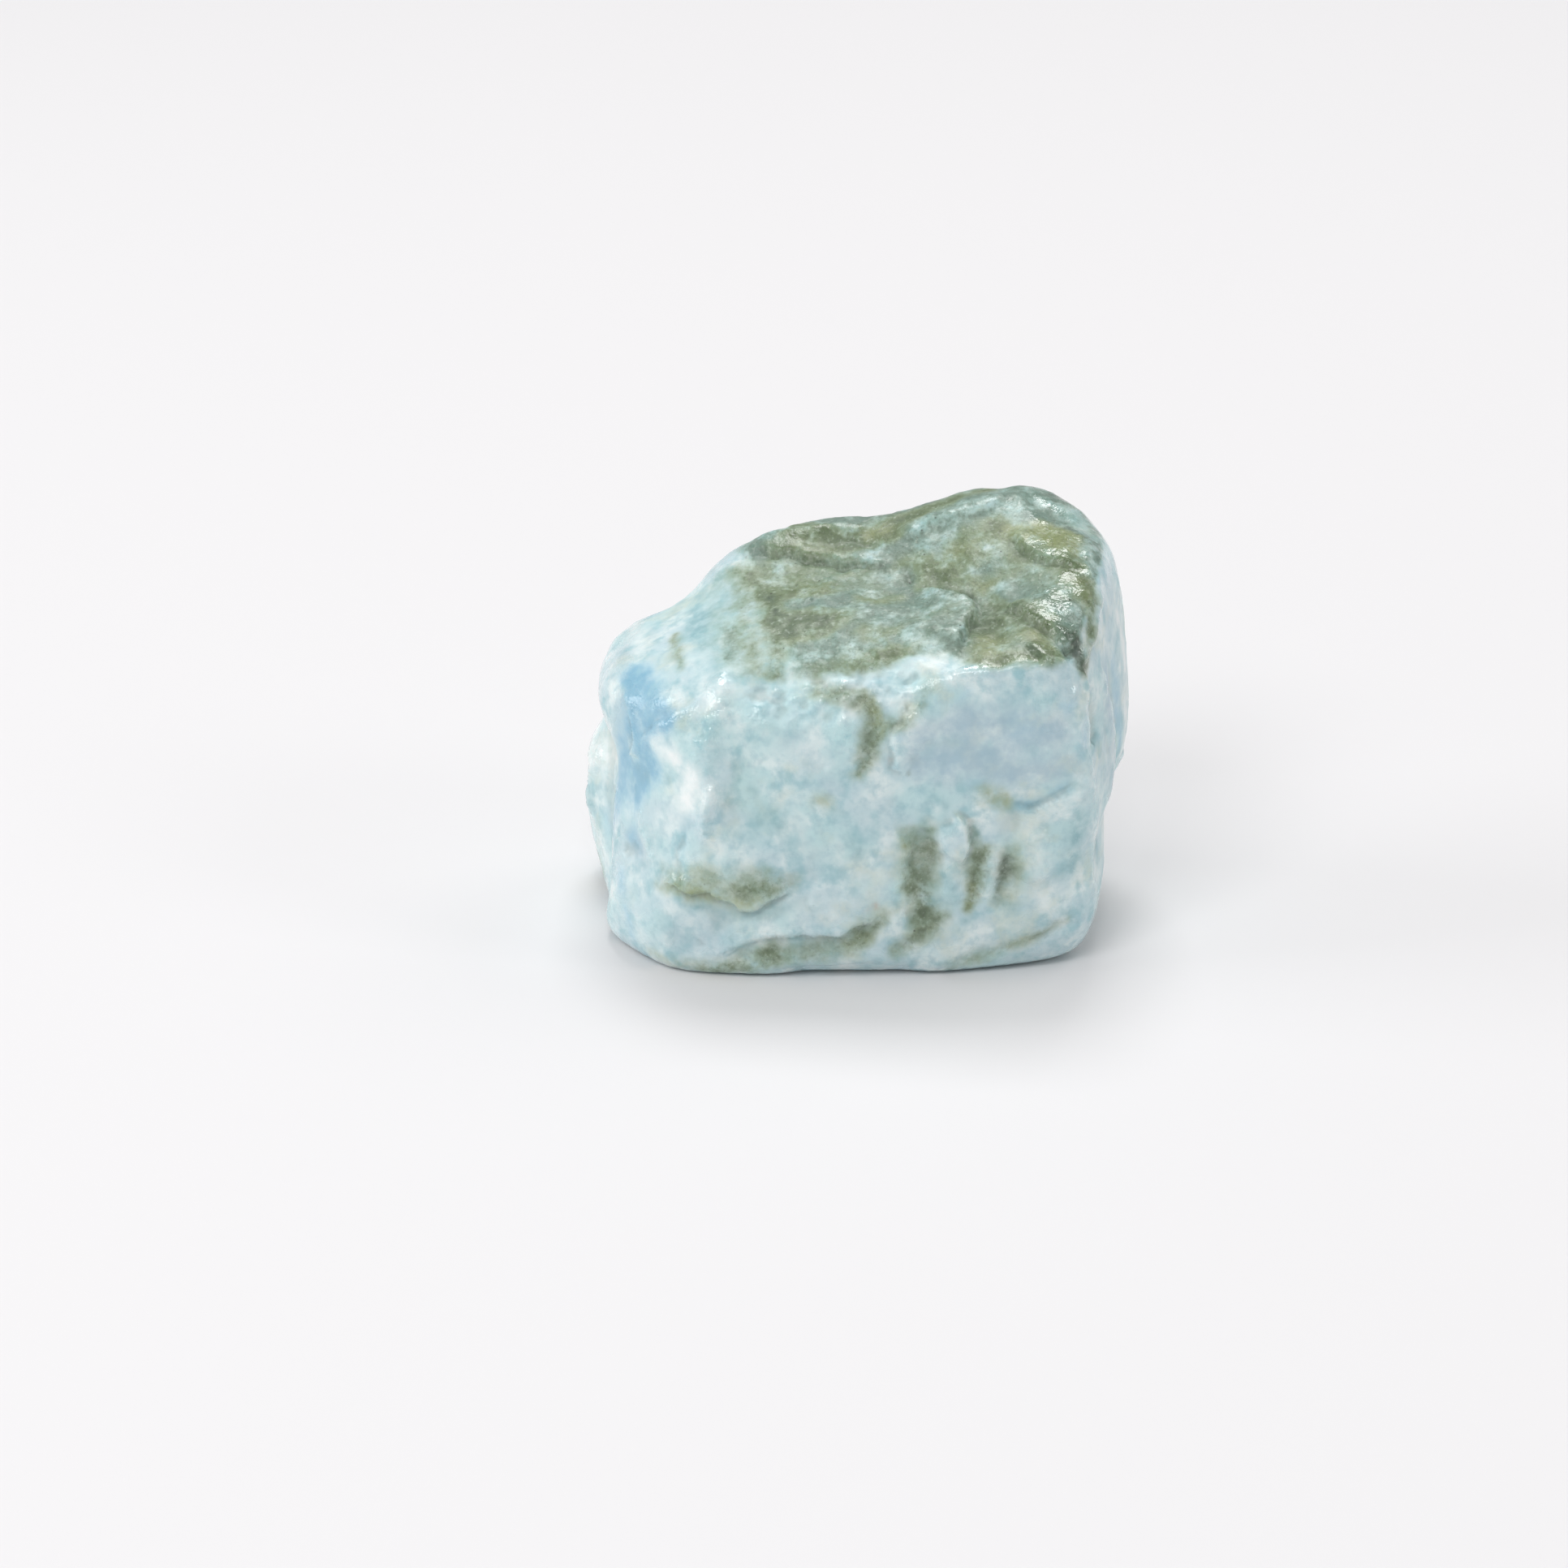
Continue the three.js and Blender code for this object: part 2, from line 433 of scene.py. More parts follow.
# %% Folds and cracks of the front
folds += [
    # the wide worn shoulder between the top and the left half of the front
    ("front", -0.45, 1.70, [(-6.6, 15.8), (-4.0, 16.3), (-1.0, 16.8), (2.0, 17.2), (4.0, 17.4)]),
    # the worn corner between the left bevel and the front
    ("front", 0.26, 0.85, [(-7.3, 16.6), (-7.6, 15.2), (-8.1, 13.6), (-8.4, 12.4), (-8.0, 10.8),
                           (-8.1, 9.2), (-8.5, 7.4)]),
    ("front", 0.18, 0.35, [(-11.7, 8.8), (-11.5, 7.0), (-10.9, 5.8)]),
    ("front", -0.12, 0.28, [(-9.3, 8.4), (-9.7, 7.0), (-9.5, 5.7)]),
    ("front", -0.20, 0.60, [(-12.8, 5.8), (-11.9, 6.5)]),
    ("front", -0.20, 0.90, [(-10.4, 1.7), (-8.2, 2.0)]),
    # the bottom band, and the pale lip below it
    ("front", -0.20, 0.45, [(-7.4, 0.9), (-5.4, 1.6), (-2.6, 2.1), (0.0, 2.5), (1.4, 3.6)]),
    ("front", 0.14, 0.40, [(-5.0, 0.7), (-2.0, 1.3), (0.4, 1.6), (2.6, 1.2)]),
    # the olive fork
    ("front", -0.16, 0.55, [(0.5, 16.4), (0.5, 14.8), (0.2, 13.2), (-0.2, 12.0)]),
    ("front", -0.14, 0.40, [(3.6, 16.9), (2.4, 15.5)]),
    ("front", 0.14, 0.90, [(-0.9, 15.6), (-1.0, 13.6), (-1.8, 12.0)]),
    # the valley of the green streak, between its ribs
    ("front", -0.32, 0.70, [(3.5, 9.2), (3.4, 6.6), (3.3, 4.5), (3.1, 2.8)]),
    ("front", 0.20, 0.35, [(1.7, 9.4), (2.4, 8.0), (2.5, 6.6), (2.3, 5.0)]),
    ("front", 0.22, 0.45, [(4.6, 8.8), (5.2, 7.3), (5.2, 5.9), (4.8, 4.3)]),
    ("front", -0.20, 0.35, [(3.9, 3.2), (3.1, 2.4), (1.8, 1.9)]),
    ("front", -0.14, 0.38, [(6.7, 7.5), (6.3, 6.2), (6.0, 4.8)]),
    ("front", 0.12, 0.35, [(7.2, 7.4), (7.2, 6.2), (6.8, 4.8)]),
    ("front", -0.24, 0.45, [(8.0, 7.3), (8.0, 6.2), (7.5, 4.8)]),
    # swells and the low right crack
    ("front", 0.28, 1.30, [(10.2, 9.0), (9.4, 7.4), (9.0, 5.4)]),
    ("front", 0.20, 1.10, [(-3.0, 4.8), (1.0, 5.2)]),
    ("front", -0.16, 0.32, [(9.2, 2.1), (10.8, 2.6), (12.1, 3.1)]),
    ("front", -0.12, 0.40, [(5.0, 1.0), (6.9, 1.5), (8.2, 2.0)]),
    ("front", 0.14, 0.70, [(8.6, 3.2), (11.6, 4.0)]),
]
print(f"{len(folds)} folds so far")

# %% Knobs of the right rim, and folds of the hidden sides
folds += [
    # sparkling knobs along the right rim of the top
    ("top", 0.16, 0.26, [(11.0, -3.6), (11.6, -4.5)]),
    ("top", 0.18, 0.28, [(12.0, -2.2), (12.3, -3.4)]),
    ("top", 0.18, 0.28, [(10.4, -4.9), (11.2, -5.3)]),
    ("top", 0.16, 0.28, [(12.3, -0.6), (12.5, -1.4)]),
    ("top", 0.14, 0.25, [(9.4, -7.0), (10.6, -7.4)]),
    # swells and grooves of the back and the sides
    ("back", 0.30, 1.10, [(-3.6, 12.8), (-1.6, 11.0), (-0.6, 8.8)]),
    ("back", 0.26, 1.30, [(6.8, 12.8), (8.2, 10.6), (8.0, 8.2)]),
    ("back", -0.26, 0.80, [(-8.0, 10.0), (-6.4, 8.2), (-6.0, 6.8)]),
    ("back", -0.20, 0.55, [(-2.0, 6.8), (1.0, 6.0), (3.8, 6.6)]),
    ("back", -0.22, 0.80, [(9.4, 14.6), (10.6, 12.0)]),
    ("left", 0.22, 0.90, [(0.6, 11.8), (0.0, 9.2), (0.6, 7.0)]),
    ("left", -0.16, 0.60, [(3.8, 3.4), (1.0, 2.6)]),
    ("right", 0.22, 1.00, [(2.0, 9.0), (3.4, 6.4), (2.6, 4.0)]),
]
print(f"{len(folds)} folds so far")

# %% How a fold lifts the skin
FOLD_ENDS = 0.12  # of the fold's length, over which it sinks towards each end
END_HEIGHT = 0.25  # of the fold's height, which is left at its very end
UNEVENNESS = 0.45  # how much the height of the folds varies along them


def fold_lift(side, height, half_width, line):
    """How much a fold raises each corner, in mm."""
    distance, _, _, inward = from_line(side, line)
    tapered = eased(inward / FOLD_ENDS)
    return height * np.exp(-((distance / half_width) ** 2)) * (END_HEIGHT + (1 - END_HEIGHT) * tapered)


fold_relief = sum(fold_lift(*fold) for fold in folds) * (1 + UNEVENNESS * lumps(skin, 0.9, seed=6.4))
print(f"folds from {fold_relief.min():.2f} to {fold_relief.max():.2f} mm")

# %% [markdown]
# ## Waves, scallops and crust
#
# Between its ledges the stone is never flat. Breaking left shallow scallops, as on flint, and tumbling wore
# them into soft waves. The top kept some of its natural crust: lumpy, grainy and less polished. Waves are
# smooth noise, scallops are the hollows of a cell pattern, and the crust is finer noise that comes in only
# where the skin faces up, away from the left shoulder and the front rim.

# %% Waves and scallops
WAVE_HEIGHT = 0.13
RIPPLE_HEIGHT = 0.35 * WAVE_HEIGHT
SCALLOP_DEPTH = 0.05  # all heights and depths in mm


def scallops(points, width):
    """Shallow bowls that meet in soft ridges: 0 in the middle of a bowl, about 1 on a ridge."""
    depth = np.empty(len(points))
    for index, point in enumerate(points):
        nearest, second = noise.voronoi(Vector(point) / width)[0][:2]
        depth[index] = nearest / max(second, 1e-6)
    return eased(depth) ** 2


waves = WAVE_HEIGHT * lumps(skin, 5.0, seed=1.3) + RIPPLE_HEIGHT * lumps(skin, 1.9, seed=5.1)
bowls = SCALLOP_DEPTH * scallops(skin, 3.0)
print(f"waves from {waves.min():.2f} to {waves.max():.2f} mm")

# %% Crust and grain
CRUST_HEIGHT = 0.07
GRAIN_HEIGHT = 0.012


def coming_in(values, start, over):
    """0 up to a start, and smoothly up to 1 where the values are past it by `over`."""
    return eased((values - start) / over)


to_right, to_back, _ = ragged.T
facing_up = coming_in(facing[:, 2], 0.45, 0.35)  # from 0.45 of the way up
off_left_shoulder = coming_in(to_right + 0.25 * to_back, -6.2, 2.0)
off_front_rim = coming_in(to_back + 0.15 * np.clip(to_right - 4, 0, 6), -8.1, 1.8)
crust = facing_up * off_left_shoulder * off_front_rim
rough = CRUST_HEIGHT * lumps(skin, 1.6, depth=3, seed=2.2) * crust
grain = GRAIN_HEIGHT * lumps(skin, 0.55, seed=9.4) * (1 + 2 * crust)
print(f"crust covers {crust.mean():.0%} of the skin")

# %% [markdown]
# ## Raising the skin
#
# The relief is added along each corner's own direction. It fades out towards the base, which stays flat so
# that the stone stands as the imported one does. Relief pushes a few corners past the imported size, so the
# mesh is then fitted back into that box, side by side.

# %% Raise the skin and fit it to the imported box
BASE_FADE = 1.2  # mm above the table over which the relief comes in

relief = ledge_relief + fold_relief + waves + bowls + rough + grain
above_base = eased(skin[:, 2] / BASE_FADE)
raised = skin + facing * (relief * above_base)[:, None]


def fitted(points, lowest, highest):
    """Points scaled, a little and side by side, to fill a box exactly."""
    now_low = points.min(axis=0)
    now_high = points.max(axis=0)
    share = (points - now_low) / (now_high - now_low)
    return lowest + share * (highest - lowest)


raised = fitted(raised, np.array(low) / MM, np.array(high) / MM)
stone.data.vertices.foreach_set("co", (raised * MM).ravel())
stone.data.shade_smooth()
stone.data.update()
print(f"relief: {relief.min():.2f} to {relief.max():.2f} mm")

# %% [markdown]
# ## What stands proud
#
# Tumbling polishes what stands proud, the edges and the knobs, and hardly touches the hollows. To find
# them, each corner is moved to the middle of its neighbours, over and over, which melts the edges away.
# What then lies above the melted skin is proud, and what lies below it is a hollow.

# %% Proud edges
MELTING_ROUNDS = 40


def melted(points, edges, rounds):
    """Points moved to the middle of their neighbours, again and again."""
    first, second = edges.T
    neighbours = np.bincount(edges.ravel(), minlength=len(points))
    for _ in range(rounds):
        moved = np.empty_like(points)
        for axis in range(3):
            from_second = np.bincount(first, points[second, axis], len(points))
            from_first = np.bincount(second, points[first, axis], len(points))
            moved[:, axis] = (from_second + from_first) / neighbours
        points = moved
    return points


pairs = np.empty(len(stone.data.edges) * 2, dtype=np.int32)
stone.data.edges.foreach_get("vertices", pairs)
proud = ((raised - melted(raised, pairs.reshape(-1, 2), MELTING_ROUNDS)) * facing).sum(axis=1)
print(f"proud of the melted skin: {proud.min():.2f} to {proud.max():.2f} mm")

# %% Polish and hollows
DULLING = 0.7  # how much of the polish the crust takes away
RIGHT_RIM = 10.5  # mm to the right, where the rim begins that is polished in spite of its crust
RIM_WIDTH = 2.0  # mm

dulled = DULLING * crust * eased((RIGHT_RIM - skin[:, 0]) / RIM_WIDTH)
polish = coming_in(proud, 0.04, 0.09) * (1 - dulled)  # from 0.04 mm above the melted skin
# the hollows are darkened with painted shade in the material
hollow = coming_in(-proud, 0.01, 0.06)  # from 0.01 mm below it
print(f"polished: {polish.mean():.0%} of the skin, hollow: {hollow.mean():.0%}")

# %% [markdown]
# ## Where the minerals are
#
# The body of the stone is pale blue pectolite. White calcite, blue and teal copper-rich pectolite, and the
# olive green of chlorite lie in it as clouds, bands and stains. Each kind of mineral gets one number per
# corner of the skin: 0 where there is none, 1 where it is solid. A stain is a line on one side, and each of
# its points has its own half width, so a stain can swell and taper. A strength below 0 thins out what lies
# there already, which opens a pale gap. Numbers stored on the mesh keep each stain on its own ledge.

# %% Drawing stains
stains = []


def draw(side, marks):
    """Adds marks to one side: mineral, strength, and then the points (across, up, half width) in mm."""
    stains.extend((side, *mark) for mark in marks)
    print(f"{side}: {len(marks)} marks")


# %% [markdown]
# ### The top
#
# The top carries most of the green. A grey green haze lies on the whole crust, so its gaps come first. Then
# each plate gets its olive, with yellow ochre where it is thin, and painted shade: a dark green line along
# the foot of its ledge.

# %% Haze on the top, and the gaps in it
draw("top", [
    ("haze", -0.95, (-6.5, -7.4, 0.8), (-3.0, -8.2, 1.1), (0.5, -8.6, 1.1), (4.6, -8.6, 0.8)),
    ("haze", -0.80, (2.6, -7.0, 0.8), (4.2, -6.8, 0.8), (4.6, -5.6, 0.5)),
    ("haze", -0.45, (3.4, -5.0, 0.8), (2.4, -7.4, 0.8), (-0.8, -7.0, 0.6), (-3.2, -7.2, 0.5)),
    ("haze", -0.55, (-2.8, -0.3, 0.35), (-1.6, -0.5, 0.4), (-0.6, -0.4, 0.4)),
    ("haze", -0.35, (-3.2, -5.2, 0.5), (-1.6, -5.4, 0.6)),
    ("haze", -0.50, (1.0, 1.8, 0.4), (2.2, 1.5, 0.4)),
    ("haze", -0.70, (4.3, 3.6, 0.3), (4.4, 2.4, 0.3)),
    ("haze", -0.90, (3.6, 4.6, 0.4), (5.4, 5.0, 0.8), (7.4, 5.4, 0.8), (9.0, 5.3, 0.9), (10.2, 5.6, 0.5)),
    ("haze", -0.80, (8.8, 3.7, 0.4), (9.6, 3.6, 0.4)),
    ("haze", -0.75, (7.4, 0.9, 0.4), (8.1, 0.4, 0.5), (8.4, -0.1, 0.4)),
    ("haze", -0.85, (7.6, -0.9, 0.3), (8.1, -1.8, 0.4), (8.5, -2.4, 0.3)),
    ("haze", -0.95, (12.2, 5.0, 0.7), (12.8, 2.6, 0.8), (12.8, -0.2, 0.8), (13.0, -3.0, 0.3)),
    ("haze", -0.35, (2.4, -1.4, 0.7), (4.2, -1.8, 0.8), (3.0, -3.0, 0.6)),
    ("haze", -0.50, (8.0, -4.4, 0.4), (8.2, -6.4, 0.4)),
    ("haze", -0.60, (10.2, -4.6, 0.5), (11.2, -4.8, 0.5), (10.6, -5.8, 0.4)),
    ("haze", 0.50, (-6.9, -1.6, 0.5), (-6.6, -2.6, 0.7), (-6.8, -4.4, 0.6)),
])

# %% The olive plate, and the olive of the middle and the front rim
draw("top", [
    ("olive", 0.70, (-6.0, 3.6, 0.45), (-5.4, 2.2, 0.65), (-4.9, 0.6, 0.65), (-4.5, -1.0, 0.55)),
    ("olive", 0.75, (-4.4, -2.0, 0.7), (-4.2, -3.4, 0.65), (-4.3, -4.6, 0.5), (-4.5, -6.2, 0.45)),
    ("moss", 0.40, (-5.9, 3.4, 0.15), (-5.2, 1.6, 0.25), (-4.7, 0.2, 0.3), (-4.3, -1.4, 0.2)),
    ("moss", 0.60, (-4.9, 0.9, 0.15), (-4.7, 0.5, 0.2)),
    ("moss", 0.70, (-4.3, -1.0, 0.15), (-4.25, -1.3, 0.15)),
    ("olive", 0.55, (-4.8, 3.2, 0.85), (-3.8, 2.2, 1.35), (-3.3, 1.2, 1.35)),
    ("olive", 0.35, (-3.6, 3.4, 0.85), (-1.6, 3.2, 0.85), (0.4, 2.6, 0.7)),
    ("olive", 0.70, (-3.2, 1.0, 0.7), (-1.9, 0.8, 0.85)),
    ("ochre", 0.35, (-2.9, 1.0, 0.5), (-1.9, 0.8, 0.5)),
    ("olive", 0.90, (-3.9, -2.0, 0.85), (-2.9, -2.3, 1.2), (-1.8, -2.6, 1.2), (-0.8, -2.4, 0.7)),
    ("olive", 0.75, (-3.9, -3.5, 0.7), (-3.2, -3.7, 0.85), (-2.2, -3.5, 0.7)),
    ("moss", 0.40, (-3.2, -1.9, 0.5), (-2.5, -2.3, 0.6), (-1.4, -2.6, 0.5)),
    ("ochre", 0.40, (-3.8, -4.0, 0.3), (-2.9, -4.0, 0.4)),
    ("ochre", 0.25, (-2.2, -2.9, 0.5), (-1.2, -2.8, 0.4)),
    ("olive", 0.40, (-2.7, -6.5, 0.5), (-2.4, -7.1, 0.5)),
    ("olive", 0.55, (0.5, -4.2, 0.85), (1.2, -4.5, 0.95), (1.9, -4.3, 0.55)),
    ("olive", 0.50, (0.3, -6.3, 0.45), (1.0, -6.4, 0.55), (1.8, -6.3, 0.4)),
    ("olive", 0.55, (0.5, -0.7, 0.55), (1.2, -0.9, 0.65), (2.0, -0.6, 0.45)),
    ("ochre", 0.25, (0.6, -0.8, 0.4), (1.4, -0.9, 0.3)),
    ("olive", 0.30, (-0.6, 1.8, 1.1), (0.6, 0.8, 1.2)),
    ("olive", 0.70, (6.2, -7.2, 0.4), (8.0, -7.3, 0.4), (9.6, -7.3, 0.4)),
    ("olive", 0.50, (-1.4, -6.4, 0.6), (0.8, -6.6, 0.7), (2.8, -6.2, 0.5)),
    ("olive", 0.45, (8.6, 0.6, 0.8), (7.6, -0.4, 0.6)),
    ("olive", 0.30, (3.2, -3.4, 0.7), (4.6, -3.2, 0.85), (5.3, -2.4, 0.7)),
])

# %% The back ridge, with a line of painted shade along its foot
draw("top", [
    # painted shade: dark green where the back ridge's ledge begins
    ("moss", 0.55, (-5.6, 4.9, 0.15), (-4.8, 4.9, 0.25), (-4.0, 5.2, 0.25)),
    ("olive", 0.80, (-4.4, 4.7, 0.55), (-3.2, 4.9, 1.1), (-1.8, 4.6, 1.1), (-0.6, 4.2, 0.7)),
    ("olive", 0.55, (-3.6, 6.4, 0.85), (-2.6, 5.9, 0.85)),
    ("ochre", 0.35, (-3.2, 4.8, 0.5), (-1.4, 4.5, 0.5)),
    # painted shade: a dark green line along the foot of the back ridge
    ("moss", 0.45, (-4.2, 4.3, 0.2), (-2.4, 3.7, 0.3), (-1.2, 3.5, 0.3), (0.2, 3.4, 0.3), (1.6, 3.3, 0.25),
     (2.4, 3.0, 0.2)),
    ("olive", 0.75, (0.2, 5.0, 0.7), (1.2, 5.2, 1.1), (2.2, 5.6, 0.95), (3.2, 5.8, 0.7)),
    ("ochre", 0.50, (0.7, 5.1, 0.5), (1.7, 5.3, 0.5)),
    ("moss", 0.35, (1.8, 5.5, 0.4), (2.8, 5.8, 0.4)),
    ("olive", 0.70, (3.2, 6.0, 0.55), (4.4, 6.2, 0.55), (6.0, 6.6, 0.55), (7.4, 6.8, 0.45)),
    ("moss", 0.25, (3.2, 6.0, 0.3), (4.8, 6.3, 0.3), (6.6, 6.7, 0.25)),
])

# %% Between the plate and the peak
draw("top", [
    ("olive", 0.70, (2.4, 2.3, 0.5), (3.2, 2.4, 0.65), (4.0, 1.4, 0.7)),
    ("moss", 0.85, (2.6, 1.9, 0.25), (2.7, 1.1, 0.35)),
    ("olive", 0.65, (4.8, 1.2, 0.85), (5.4, 2.4, 1.1), (6.6, 3.0, 1.1), (7.7, 3.3, 0.85)),
    ("olive", 0.70, (7.6, 3.8, 0.45), (7.8, 2.8, 0.7)),
    ("olive", 0.65, (6.2, 1.6, 0.7), (6.9, 1.4, 0.55)),
    ("moss", 0.35, (6.5, 1.7, 0.3), (6.9, 1.5, 0.2)),
    ("ochre", 0.30, (5.0, 2.0, 0.6), (6.4, 2.6, 0.7)),
    ("olive", 0.65, (3.6, 0.2, 0.55), (5.0, 0.1, 0.85), (6.0, -0.4, 1.1), (6.9, -0.8, 0.55)),
    ("ochre", 0.45, (5.4, -0.4, 0.5), (6.6, -0.7, 0.5)),
])

# %% The yellow plate, the painted shade line under it and the right rim
draw("top", [
    ("olive", 0.50, (8.9, 2.7, 0.7), (10.2, 2.4, 1.35), (11.2, 1.4, 1.2), (11.6, 0.4, 0.7)),
    ("ochre", 0.85, (9.2, 2.9, 0.5), (10.2, 2.6, 0.9), (11.1, 2.2, 0.9), (11.4, 1.2, 0.7), (11.7, 0.4, 0.4)),
    # painted shade: a dark green line along the foot of the yellow plate's ledge
    ("moss", 0.50, (8.3, 2.1, 0.15), (8.9, 1.5, 0.25), (9.7, 0.7, 0.25), (10.3, 0.2, 0.15)),
    ("olive", 0.65, (8.2, 2.1, 0.55), (9.0, 1.3, 0.7), (10.0, 0.3, 0.7), (11.6, -0.6, 0.7)),
    ("olive", 0.30, (8.8, -0.6, 0.7), (10.4, -1.4, 1.1), (10.8, -3.0, 0.95)),
    ("olive", 0.75, (11.5, -1.4, 0.7), (12.1, -2.4, 0.85), (12.3, -3.6, 0.45), (12.2, -5.0, 0.45),
     (11.9, -6.4, 0.45)),
    ("ochre", 0.35, (11.8, -2.2, 0.4), (12.2, -3.0, 0.4)),
    ("moss", 0.30, (11.9, -2.5, 0.3), (12.2, -2.7, 0.25)),
])

# %% The recess at the front right, between two ledges, with painted shade along their feet
draw("top", [
    # painted shade: dark green along the foot of the thick plate's ledge, in this line and the next
    ("moss", 0.75, (3.8, 0.0, 0.2), (4.8, -0.2, 0.3), (5.6, -0.6, 0.4), (6.2, -1.4, 0.35), (6.7, -2.6, 0.35)),
    ("moss", 0.55, (6.8, -3.0, 0.35), (6.5, -3.9, 0.3), (6.2, -4.5, 0.2)),
    ("olive", 0.85, (6.9, -2.2, 0.7), (7.2, -3.4, 0.95), (7.0, -4.8, 0.95), (6.8, -6.2, 1.1),
     (7.0, -7.0, 0.85)),
    ("ochre", 0.50, (6.8, -5.4, 0.6), (6.8, -6.8, 0.6)),
    # painted shade: a thin dark line at the front end of the same ledge
    ("moss", 0.50, (5.4, -5.4, 0.12), (5.2, -6.2, 0.18), (5.4, -7.0, 0.12)),
    ("olive", 0.70, (7.7, -3.0, 0.5), (9.0, -3.9, 0.7), (9.9, -5.0, 0.55)),
    # painted shade: dark green along the foot of the ledge behind the recess
    ("moss", 0.55, (7.7, -3.0, 0.15), (8.6, -3.5, 0.25), (9.4, -4.0, 0.3), (9.9, -4.9, 0.2)),
    ("olive", 0.80, (9.0, -4.8, 0.7), (9.4, -6.2, 0.95), (9.8, -7.1, 0.7)),
    ("ochre", 0.45, (9.1, -5.6, 0.5), (9.6, -6.6, 0.5)),
    # painted shade: a thin dark line along the foot of the thin front ledge
    ("moss", 0.50, (8.6, -6.7, 0.1), (9.3, -7.3, 0.15), (10.1, -7.7, 0.1)),
    ("moss", 0.50, (10.3, -5.3, 0.2), (10.5, -5.5, 0.15)),
    ("moss", 0.95, (10.8, -5.9, 0.4), (11.4, -6.3, 0.6), (11.8, -6.5, 0.45)),
])

# %% Pale gaps in the olive
draw("top", [
    ("olive", -0.50, (-2.8, -0.3, 0.3), (-1.6, -0.5, 0.35), (-0.6, -0.4, 0.3)),
    ("olive", -0.60, (4.3, 3.6, 0.25), (4.4, 2.4, 0.25)),
])

# %% Pale rims, and second washes over the green
draw("top", [
    ("snow", 0.55, (-12.4, 4.4, 0.6), (-12.0, 2.0, 0.7), (-11.8, 0.0, 0.5)),
    ("ochre", 0.20, (-11.6, 2.0, 0.4), (-11.3, -0.2, 0.4)),
    ("snow", 0.30, (-9.4, -2.4, 0.6), (-8.4, -4.4, 0.7), (-8.0, -6.0, 0.7), (-5.6, -7.4, 0.6)),
    ("snow", 0.35, (2.4, -7.6, 0.5), (4.2, -7.4, 0.5), (4.9, -6.2, 0.3)),
    ("snow", 0.70, (8.1, -1.8, 0.35), (8.4, -2.5, 0.4)),
    ("snow", 0.30, (5.4, 5.0, 0.5), (8.6, 5.3, 0.6)),
    ("teal", 0.50, (-9.0, 2.4, 0.4), (-8.9, 0.4, 0.5), (-8.7, -1.6, 0.4)),
    ("teal", 0.55, (-7.6, 3.8, 0.8), (-6.6, 2.0, 0.8), (-6.2, 0.4, 0.6)),
    ("teal", 0.55, (-8.6, 3.2, 1.0), (-8.2, -0.2, 1.4), (-8.0, -3.0, 1.2), (-7.2, -5.4, 0.9)),
    ("haze", 0.40, (-7.6, 3.6, 0.9), (-7.0, 0.4, 1.2), (-7.0, -3.0, 1.2), (-6.2, -5.6, 0.8)),
    ("olive", 0.50, (-6.8, 4.0, 0.6), (-6.3, 1.8, 0.7), (-6.0, -0.8, 0.7), (-5.8, -3.6, 0.8),
     (-5.4, -5.8, 0.6)),
    ("olive", 0.70, (-3.6, 5.8, 0.6), (-1.6, 5.2, 0.7), (0.4, 4.6, 0.7), (2.0, 4.8, 0.5)),
    ("moss", 0.30, (-3.4, 4.6, 0.5), (-1.4, 4.6, 0.6), (0.6, 4.2, 0.5)),
    ("moss", 0.30, (-4.4, -1.6, 0.6), (-3.6, -3.0, 0.7), (-2.2, -3.4, 0.5)),
    ("ochre", 0.45, (8.2, 3.0, 0.6), (9.4, 2.2, 0.7), (10.8, 1.2, 0.6)),
    ("moss", 0.50, (8.4, -6.6, 0.3), (9.4, -7.0, 0.3)),
])

